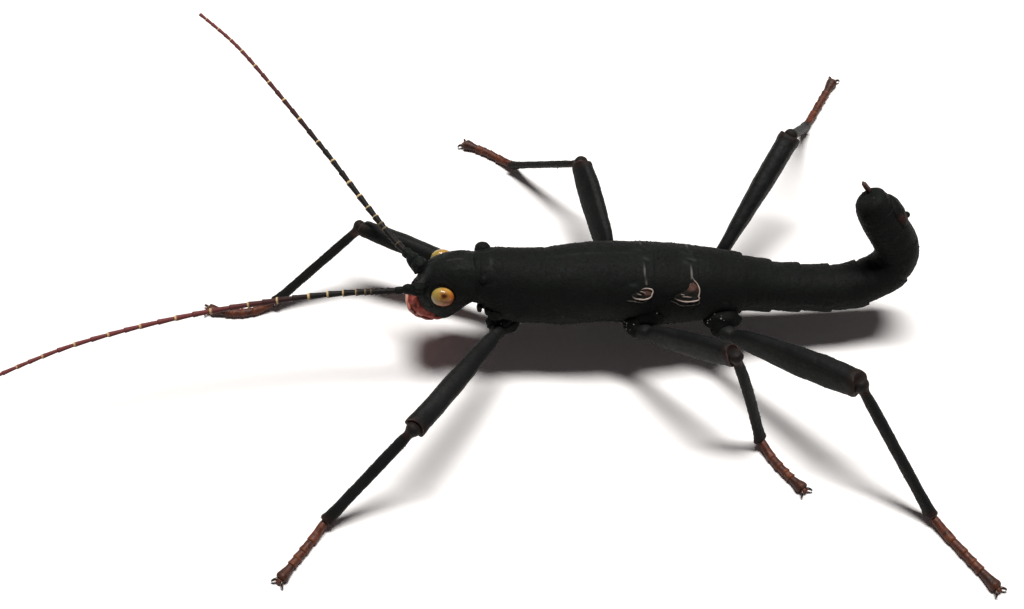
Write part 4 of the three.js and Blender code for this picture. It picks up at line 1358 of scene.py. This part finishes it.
# shift of the hip, swing and lift of the femur, swing of the tibia and of the foot, the foot's curve aside
legStance = {
    "foreLeft": (0, 33.9, 7.8, 57.1, 35.3, 0.0), "foreRight": (0, 66.6, 10.6, 113.3, 92.8, 0.58),
    "midLeft": (0.65, -47.3, 28.4, -51.5, -32.2, -0.18), "midRight": (-0.65, 11.7, 13.2, 49.5, 54.6, -0.24),
    "hindLeft": (0, -46, 20.6, -39.5, -31.5, 0.0), "hindRight": (0.35, -37.2, 24.5, -24.6, -31, 0.0),
}
shinBow = {"midLeft": 0.17}
footShape = {
    "ankle": 0.5, "sole": 0.27, "claw": 0.3, "ends": (0.34, 0.52, 0.65, 0.76, 1.0), "width": 0.345,
    "dark": (0.22, 0.34, 0.26, 0.24, 0.7), "steps": (20, 13, 13, 13, 20), "overFloor": 0.012, "sides": 30,
}


def headingOf(side, swing, lift):
    swing, lift = math.radians(swing), math.radians(lift)
    level = math.cos(lift)
    return np.array([-math.sin(swing) * level, side * math.cos(swing) * level, math.sin(lift)])


def ridges(angle, places, width, height):
    # longitudinal keels round a shaft: growth of the radius at each angle
    return sum(height * bump(angleGap(angle, p), 0, width) for p in places)


def shaftRows(origin, ahead, hint, reader, stations, sides, power, keels=None, bow=None):
    side, up = squareTo(ahead, hint)
    rows = []
    for d in stations:
        middle = origin + ahead * d + (bow(d) if bow else 0)
        grow = 1 + keels(d) if keels else 1.0
        rows.append(rolled(middle, side, up, *reader(d), 0, sides, power, grow))
    return np.array(rows)


class Leg:
    # where one leg's joints are and which way its parts point
    def __init__(self, pair, sideWord):
        look = self.look = legPairs[pair]
        shift, swing, lift, tibiaSwing, footSwing, self.footCurve = legStance[pair + sideWord]
        self.side = -1 if sideWord == "Left" else 1
        self.seed = look["seed"] + self.side
        self.name = pair.capitalize() + sideWord
        self.node = f"{pair}_{sideWord.lower()}"
        self.shinBow = shinBow.get(pair + sideWord, 0)
        root = look["root"]
        self.hip = fromBody([root[0] + shift, self.side * root[1], root[2]])
        self.femurAhead = headingOf(self.side, swing, lift)
        self.knee = self.hip + self.femurAhead * look["femur"]
        drop = math.degrees(math.asin((self.knee[2] - floorZ - footShape["ankle"]) / look["tibia"]))
        self.tibiaAhead = headingOf(self.side, tibiaSwing, -drop)
        self.ankle = self.knee + self.tibiaAhead * look["tibia"]
        self.footAhead = headingOf(self.side, footSwing, 0)
        self.footAcross = np.cross(upWay, self.footAhead)
        self.footReach = look["tarsus"] - footShape["claw"]
        self.tip = self.ankle + self.footAhead * (self.footReach + 0.02)
        self.tip[2] = floorZ + footShape["sole"] - 0.02


def makeCoxa(leg):
    look, seed, root = leg.look, leg.seed, leg.look["root"]
    socket = fromBody([root[0], leg.side * root[1] * 0.5, root[2] * 0.55])
    ahead, length = unit(leg.hip - socket), np.linalg.norm(leg.hip - socket)
    shape = (
        (0, 0.86), (length * 0.35, 0.8), (length * 0.7, 0.84), (length, 0.7), (length + 0.2, 0.6),
        (length + 0.35, 0.42),
    )
    reader = rowReader([[d, radius, radius] for d, radius in shape])
    rows = shaftRows(socket, ahead, [1.0, 0, 0], reader, np.linspace(0, length + 0.35, 34), 56, 2.1)

    def growth(flat):
        fine = 0.05 * wobble(flat, 3.2, seed + 1) + 0.07 * grains(flat, 2.6, seed + 2)
        return 0.09 * wobble(flat, 1.5, seed) + fine

    lumpAt = leg.hip + np.array(look["lumpAt"]) * [1, leg.side, 1]
    lump = roundedLump(lumpAt, look["lump"], 4, 0.14, seed, 1.9)
    points, faces = together([tubeMesh(roughened(rows, growth)), lump])
    grit = np.maximum(smooth(wobble(points, 1.1, seed + 3), -0.1, 0.35), look["leastGrit"])
    coxa = storeMesh("coxa" + leg.name, points, faces, {"grit": grit}, hipFinish)
    specks = growOn(coxa, "hip", "hipSpecks" + leg.name, speckFinish, seedStep=seed)
    settle(coxa, ["coxa_" + leg.node])
    settle(specks, [])


def makeFemur(leg):
    # trochanter, shaft with low keels, and an open end with a lobe each side of the knee
    look, seed, ahead, end, sides = leg.look, leg.seed, leg.femurAhead, leg.look["femur"], 60
    thick, deep, (slimRoot, slimMiddle) = look["thick"], look["deep"], look["slim"]
    reader = rowReader([
        [0, 0.44, 0.44], [0.3, 0.54, 0.55], [0.7, 0.56, 0.58], [1.0, 0.5, 0.51], [1.16, 0.44, 0.45],
        [1.35, 0.48, 0.49], [1.9, thick * slimRoot, deep * slimRoot],
        [end * 0.45, thick * slimMiddle, deep * 0.94], [end * 0.75, thick * 0.99, deep * 0.99],
        [end - 1.3, thick * 0.99, deep * 0.92], [end - 0.75, thick, deep * 0.86],
        [end - 0.4, thick * 1.05, deep * 0.86], [end - 0.2, thick * 1.03, deep * 0.8],
    ])
    stations = np.concatenate([
        np.linspace(0, 1.5, 22), np.linspace(1.6, end - 1.0, 64), np.linspace(end - 0.95, end - 0.2, 18),
    ])
    angle, keelTurns = ringAngles(sides), (45, 135, 225, 315)
    keels = ridges(angle, keelTurns, 0.13, 0.028) + ridges(angle, (90, 270), 0.08, 0.012) - 0.01
    bow = unit(np.array([0.75, leg.side * 0.25, 0.6])) * look["bow"]
    rows = shaftRows(
        leg.hip, ahead, -leg.tibiaAhead, reader, stations, sides, 2.35,
        lambda d: keels * smooth(d, 1.5, 2.4) * (1 - smooth(d, end - 1.0, end - 0.5)),
        lambda d: bow * math.sin(math.pi * d / end),
    )
    lobes = np.abs(np.cos(angle)) ** 1.5
    near = smooth(stations, end - 0.7, end - 0.2)
    rows += ahead * ((0.22 * lobes - 0.06) * near[:, None])[:, :, None]
    # the open end turns in on itself round the knee
    last, middle = rows[-1], rows[-1].mean(0)
    turnedIn = ((0.97, 0.035), (0.92, 0.04), (0.87, 0.02), (0.78, 0.0), (0.5, 0.0))
    inner = [middle + (last - middle) * share + ahead * out for share, out in turnedIn]
    rows = np.concatenate([rows, inner])
    distance = (rows.reshape(-1, 3) - leg.hip) @ ahead

    def growth(flat):
        rough = 0.03 * grains(flat, 3.0, seed + 5) * smooth(end - distance, 0.4, 1.0)
        return 0.04 * wobble(flat, 0.9, seed + 3) + 0.022 * wobble(flat, 3.4, seed + 4) + rough

    rows = roughened(rows, growth)
    flat = rows.reshape(-1, 3)
    ring = np.repeat(np.arange(len(rows)), sides)
    edge = len(stations) - 1
    rim = bump(ring, edge + 1, 1.3) * np.tile(smooth(lobes, 0.2, 0.7) * 0.8 + 0.1, len(rows))
    rim *= 0.7 * smooth(wobble(flat, 2.5, seed), -0.5, 0.2)
    redness = 0.45 * smooth(distance, end - 0.9, end - 0.3) + 0.3 * (1 - smooth(distance, 0.0, 0.3))
    redness += 0.3 * bump(distance, 1.16, 0.12)
    redness += 0.14 * np.tile(ridges(angle, keelTurns, 0.09, 1.0), len(rows)) * smooth(distance, 2, 4)
    redness *= smooth(wobble(flat, 1.4, seed + 9), -0.6, 0.2)
    points, faces = tubeMesh(rows, endTip=middle)
    lining = capped(0.14 * (ring > edge + 2), 0, 0.14)
    marks = {"rim": capped(rim), "redness": capped(np.clip(redness, 0, 1)), "pink": lining}
    settle(storeMesh("femur" + leg.name, points, faces, marks, limbFinish), ["femur_" + leg.node])


def makeTibia(leg):
    # round knee, reddish neck, ridged shaft, pale rim at the far end
    seed, ahead, end, sides = leg.seed, leg.tibiaAhead, leg.look["tibia"], 48
    wide, high = leg.look["shin"]
    reader = rowReader([
        [-0.42, 0.2, 0.2], [-0.32, 0.42, 0.45], [-0.15, 0.53, 0.57], [0.05, 0.55, 0.6], [0.25, 0.49, 0.53],
        [0.42, 0.4, 0.42], [0.62, 0.34, 0.35], [0.9, wide * 0.9, high * 0.94],
        [1.4, wide * 0.97, high * 0.98], [end * 0.6, wide, high], [end - 0.9, wide * 1.05, high * 1.05],
        [end - 0.4, wide * 1.15, high * 1.16], [end - 0.16, wide * 1.2, high * 1.22],
        [end - 0.08, wide * 1.06, high * 1.08],
    ])
    stations = np.concatenate([
        np.linspace(-0.42, 1.2, 30), np.linspace(1.3, end - 0.8, 52), np.linspace(end - 0.72, end - 0.08, 16),
    ])
    angle = ringAngles(sides)
    keels = ridges(angle, (50, 130, 230, 310), 0.16, 0.05) - 0.02
    bow = np.array([leg.shinBow, 0, 0])
    rows = shaftRows(
        leg.knee, ahead, leg.femurAhead, reader, stations, sides, 2.2,
        lambda d: keels * smooth(d, 0.8, 1.6) * (1 - smooth(d, end - 0.5, end - 0.2)),
        lambda d: bow * math.sin(math.pi * min(max(d / end, 0), 1) ** 0.7),
    )
    distance = (rows.reshape(-1, 3) - leg.knee) @ ahead
    pastKnee = smooth(distance, 0.2, 0.9)

    def growth(flat):
        return 0.05 * (wobble(flat, 2.0, seed + 6) + wobble(flat, 4.2, seed + 7)) * pastKnee

    rows = roughened(rows, growth)
    flat = rows.reshape(-1, 3)
    rim = 0.6 * bump(distance, end - 0.14, 0.06) * smooth(wobble(flat, 2.5, seed + 1), -0.5, 0.2)
    redness = 0.35 * (1 - smooth(distance, -0.1, 0.3)) + 0.8 * bump(distance, 0.55, 0.26)
    redness += 0.5 * smooth(distance, end - 1.0, end - 0.2)
    edges = 0.25 * ridges(angle, (250, 290), 0.22, 1.0) + 0.4 * ridges(angle, (8, 172), 0.16, 1.0)
    redness += np.tile(edges, len(rows)) * smooth(distance, 0.6, 1.2)
    # the skin between femur and tibia shows pink on the inside of the bend
    pink = 0.7 * bump(distance, 0.5, 0.28) * np.tile(smooth(-np.sin(angle), -0.3, 0.6), len(rows))
    points, faces = tubeMesh(rows)
    marks = {
        "rim": capped(rim), "redness": capped(np.clip(redness, 0, 1), 0, 0.6), "pink": capped(pink),
        "grit": capped(smooth(distance, 0.8, 1.4)),
    }
    tibia = storeMesh("tibia" + leg.name, points, faces, marks, limbFinish)
    shinHair = growOn(tibia, "limb", "shinHair" + leg.name, limbFinish, tuple(ahead * 1.6), seed)
    settle(tibia, ["tibia_" + leg.node])
    settle(shinHair, [])


def makeFootJoint(leg, k, start, stop):
    # one barrel with a pad that swells out below, towards its far end
    sides, least = footShape["sides"], floorZ + footShape["overFloor"]
    angle = ringAngles(sides)
    under = np.clip(-np.sin(angle), 0, 1)
    isLast = k == len(footShape["ends"]) - 1
    flares = ((0, 0.1, 0.55, 0.86, 0.95, 1.0), (0.8, 0.86, 0.9, 1.02, 1.0, 0.8))
    if isLast:
        flares = ((0, 0.08, 0.4, 0.8, 0.93, 1.0), (0.68, 0.8, 0.95, 1.3, 1.26, 0.8))
    rows, shade, glow = [], [], []
    for s in np.linspace(0, 1, footShape["steps"][k]):
        d = start + (stop - start) * s
        sunk = smooth(d, 0.1, leg.footReach * footShape["ends"][0] * 0.85)
        wide = footShape["width"] * np.interp(s, *flares)
        ring = rolled((0, 0, 0), leg.footAcross, upWay, wide, wide * 1.02, 0, sides, 2.15)
        ring[:, 2] -= 0.10 * under**2 * smooth(s, 0.45, 0.85) * (1 - smooth(s, 0.93, 1.0))
        aside = leg.footAcross * leg.footCurve * math.sin(math.pi * d / leg.footReach)
        ring += leg.ankle + leg.footAhead * d + aside
        height = footShape["ankle"] + (footShape["sole"] - footShape["ankle"]) * sunk
        ring[:, 2] += floorZ + height - leg.ankle[2]
        ring[:, 2] = np.maximum(ring[:, 2], least)
        rows.append(ring)
        # shade: each joint's own tone and dark root, with painted shade on its underside; glow: the pale far
        # end, kept off the underside
        shade.append(np.clip(footShape["dark"][k] + 0.3 * under + 0.5 * (s < 0.05), 0, 1))
        glow.append((0.2 if isLast else 0.42) * smooth(s, 0.7, 0.95) * (1 - under))
    rows = roughened(rows, lambda flat: 0.07 * wobble(flat, 3.6, leg.seed + 8 + k))
    rows[:, :, 2] = np.maximum(rows[:, :, 2], least)
    return tubeMesh(rows), capped(np.concatenate(shade), 0.8, 0.5), capped(np.concatenate(glow))


def makeFoot(leg):
    # tarsus: five joints, the last long and dark, and a round pad between the claws
    made, start = [], 0.05
    for k, share in enumerate(footShape["ends"]):
        made.append(makeFootJoint(leg, k, start, leg.footReach * share))
        start = leg.footReach * share - 0.05
    pad, padFaces = roundedLump(leg.tip, (0.29, 0.27, 0.18), 3, 0.1, leg.seed)
    pad[:, 2] = np.maximum(pad[:, 2], floorZ + footShape["overFloor"])
    made.append(((pad, padFaces), np.full(len(pad), 0.35), np.full(len(pad), 0.25)))
    meshes, shade, glow = zip(*made)
    points, faces = together(meshes)
    marks = {"shade": np.concatenate(shade), "glow": np.concatenate(glow)}
    settle(storeMesh("foot" + leg.name, points, faces, marks, footFinish), ["tarsus_" + leg.node])


def makeClaws(leg):
    # two hooked claws: each knot is how far out along the claw, how far back and how high
    hook = ((0, 0, 0), (0.22, 0, 0.09), (0.44, 0, 0.07), (0.56, 0.02, -0.06), (0.56, 0.05, -0.19))
    parts, along = [], []
    for spread in (-1, 1):
        line = unit(leg.footAhead + leg.footAcross * 0.85 * spread)
        base = leg.tip + leg.footAcross * 0.1 * spread - leg.footAhead * 0.05
        knots = [base + line * out - leg.footAhead * back + upWay * high for out, back, high in hook]
        path = PathRun(curvePoints(knots, 12))
        rows = []
        for s in np.linspace(0, 1, 22):
            side, up = squareTo(path.ahead(s * path.length), [0.02, 0.01, 1.0])
            size = np.interp(s, [0, 0.25, 0.6, 0.9, 1], [0.13, 0.115, 0.085, 0.045, 0.012])
            rows.append(rolled(path.at(s * path.length), side, up, size, size * 1.15, 0, 14))
            along += [s] * 14
        rows = np.array(rows)
        rows[:, :, 2] = np.maximum(rows[:, :, 2], floorZ + 0.004)
        parts.append(tubeMesh(rows))
        along += [0, 1]
    points, faces = together(parts)
    settle(storeMesh("claws" + leg.name, points, faces, {"along": along}, clawFinish), [])


for pair in legPairs:
    for sideWord in ("Left", "Right"):
        leg = Leg(pair, sideWord)
        for make in (makeCoxa, makeFemur, makeTibia, makeFoot, makeClaws):
            make(leg)
print("legs")

# floor, light and camera
view = {
    "target": (7.62, 2.34, 0.0), "elevation": 54.0, "azimuth": -1.0, "roll": -1.4, "distance": 109.28,
    "lens": 50.0, "sensor": 36.0, "clip": (0.005, 20.0),
}
light = {
    "keyFrom": (0.085, 0.28, 1.0), "keyFar": 0.5, "keyWide": 0.34, "keyDeep": 0.1, "keyPower": 2.95,
    "keyColour": (1.0, 0.985, 0.965), "world": 0.048, "worldColour": (1, 0.87, 0.9, 1),
}
paper = {"half": 1.5, "lit": (0.55, 0.535, 0.53), "seen": (1.18, 1.16, 1.15)}


def makeCamera():
    el, az, roll = (math.radians(view[k]) for k in ("elevation", "azimuth", "roll"))
    back = np.array([math.sin(az) * math.cos(el), -math.cos(az) * math.cos(el), math.sin(el)])
    level = np.array([math.cos(az), math.sin(az), 0])
    square = np.cross(back, level)
    right = level * math.cos(roll) + square * math.sin(roll)
    up = -level * math.sin(roll) + square * math.cos(roll)
    data = bpy.data.cameras.new("viewCamera")
    data.lens, data.sensor_width = view["lens"], view["sensor"]
    data.clip_start, data.clip_end = view["clip"]
    camera = addObject("viewCamera", data)
    place = (np.array(view["target"]) + frameShift + back * view["distance"]) * milli
    camera.matrix_world = Matrix.Translation(place) @ Matrix((right, up, back)).transposed().to_4x4()
    bpy.context.scene.camera = camera


def makeFloor():
    # white paper, brighter to the eye than in what it throws back on the insect
    s = paper["half"]
    mesh = bpy.data.meshes.new("paperFloor")
    mesh.from_pydata([(-s, -s, 0), (s, -s, 0), (s, s, 0), (-s, s, 0)], [], [(0, 1, 2, 3)])
    paint = Paint("paperFinish")
    ray = addNode(paint.tree, "ShaderNodeLightPath").outputs
    bent = paint.math("MAXIMUM", ray["Is Glossy Ray"], ray["Is Transmission Ray"])
    seen = paint.math("MAXIMUM", ray["Is Camera Ray"], bent)
    grain = paint.spread(paint.noise(60, 3), 0.3, 0.7, 0.985, 1.0)
    base = paint.mix(1.0, paint.mix(seen, paper["lit"], paper["seen"]), grain, "MULTIPLY")
    paint.tree.links.new(base, paint.shader.inputs["Base Color"])
    paint.shader.inputs["Roughness"].default_value = 0.9
    paint.shader.inputs["Specular IOR Level"].default_value = 0.1
    mesh.materials.append(paint.material)
    floor = addObject("paperFloor", mesh)


def makeLight():
    data = bpy.data.lights.new("keyLight", "AREA")
    data.shape, data.color, data.energy = "ELLIPSE", light["keyColour"], light["keyPower"]
    data.size, data.size_y = light["keyWide"], light["keyDeep"]
    key = addObject("keyLight", data)
    toward = Vector(light["keyFrom"]).normalized()
    key.location = toward * light["keyFar"]
    key.rotation_euler = toward.to_track_quat("Z", "Y").to_euler()
    world = bpy.data.worlds.new("studio")
    bpy.context.scene.world = world
    world.use_nodes = True
    tree = world.node_tree
    back = tree.nodes["Background"]
    seen = addNode(tree, "ShaderNodeLightPath").outputs["Is Camera Ray"]
    strength = addNode(tree, "ShaderNodeMapRange", {"Value": seen, "To Min": light["world"], "To Max": 1.0})
    tree.links.new(strength.outputs["Result"], back.inputs["Strength"])
    back.inputs["Color"].default_value = light["worldColour"]


makeCamera()
makeFloor()
makeLight()
bpy.context.scene.view_settings.view_transform = "Standard"

print("done")
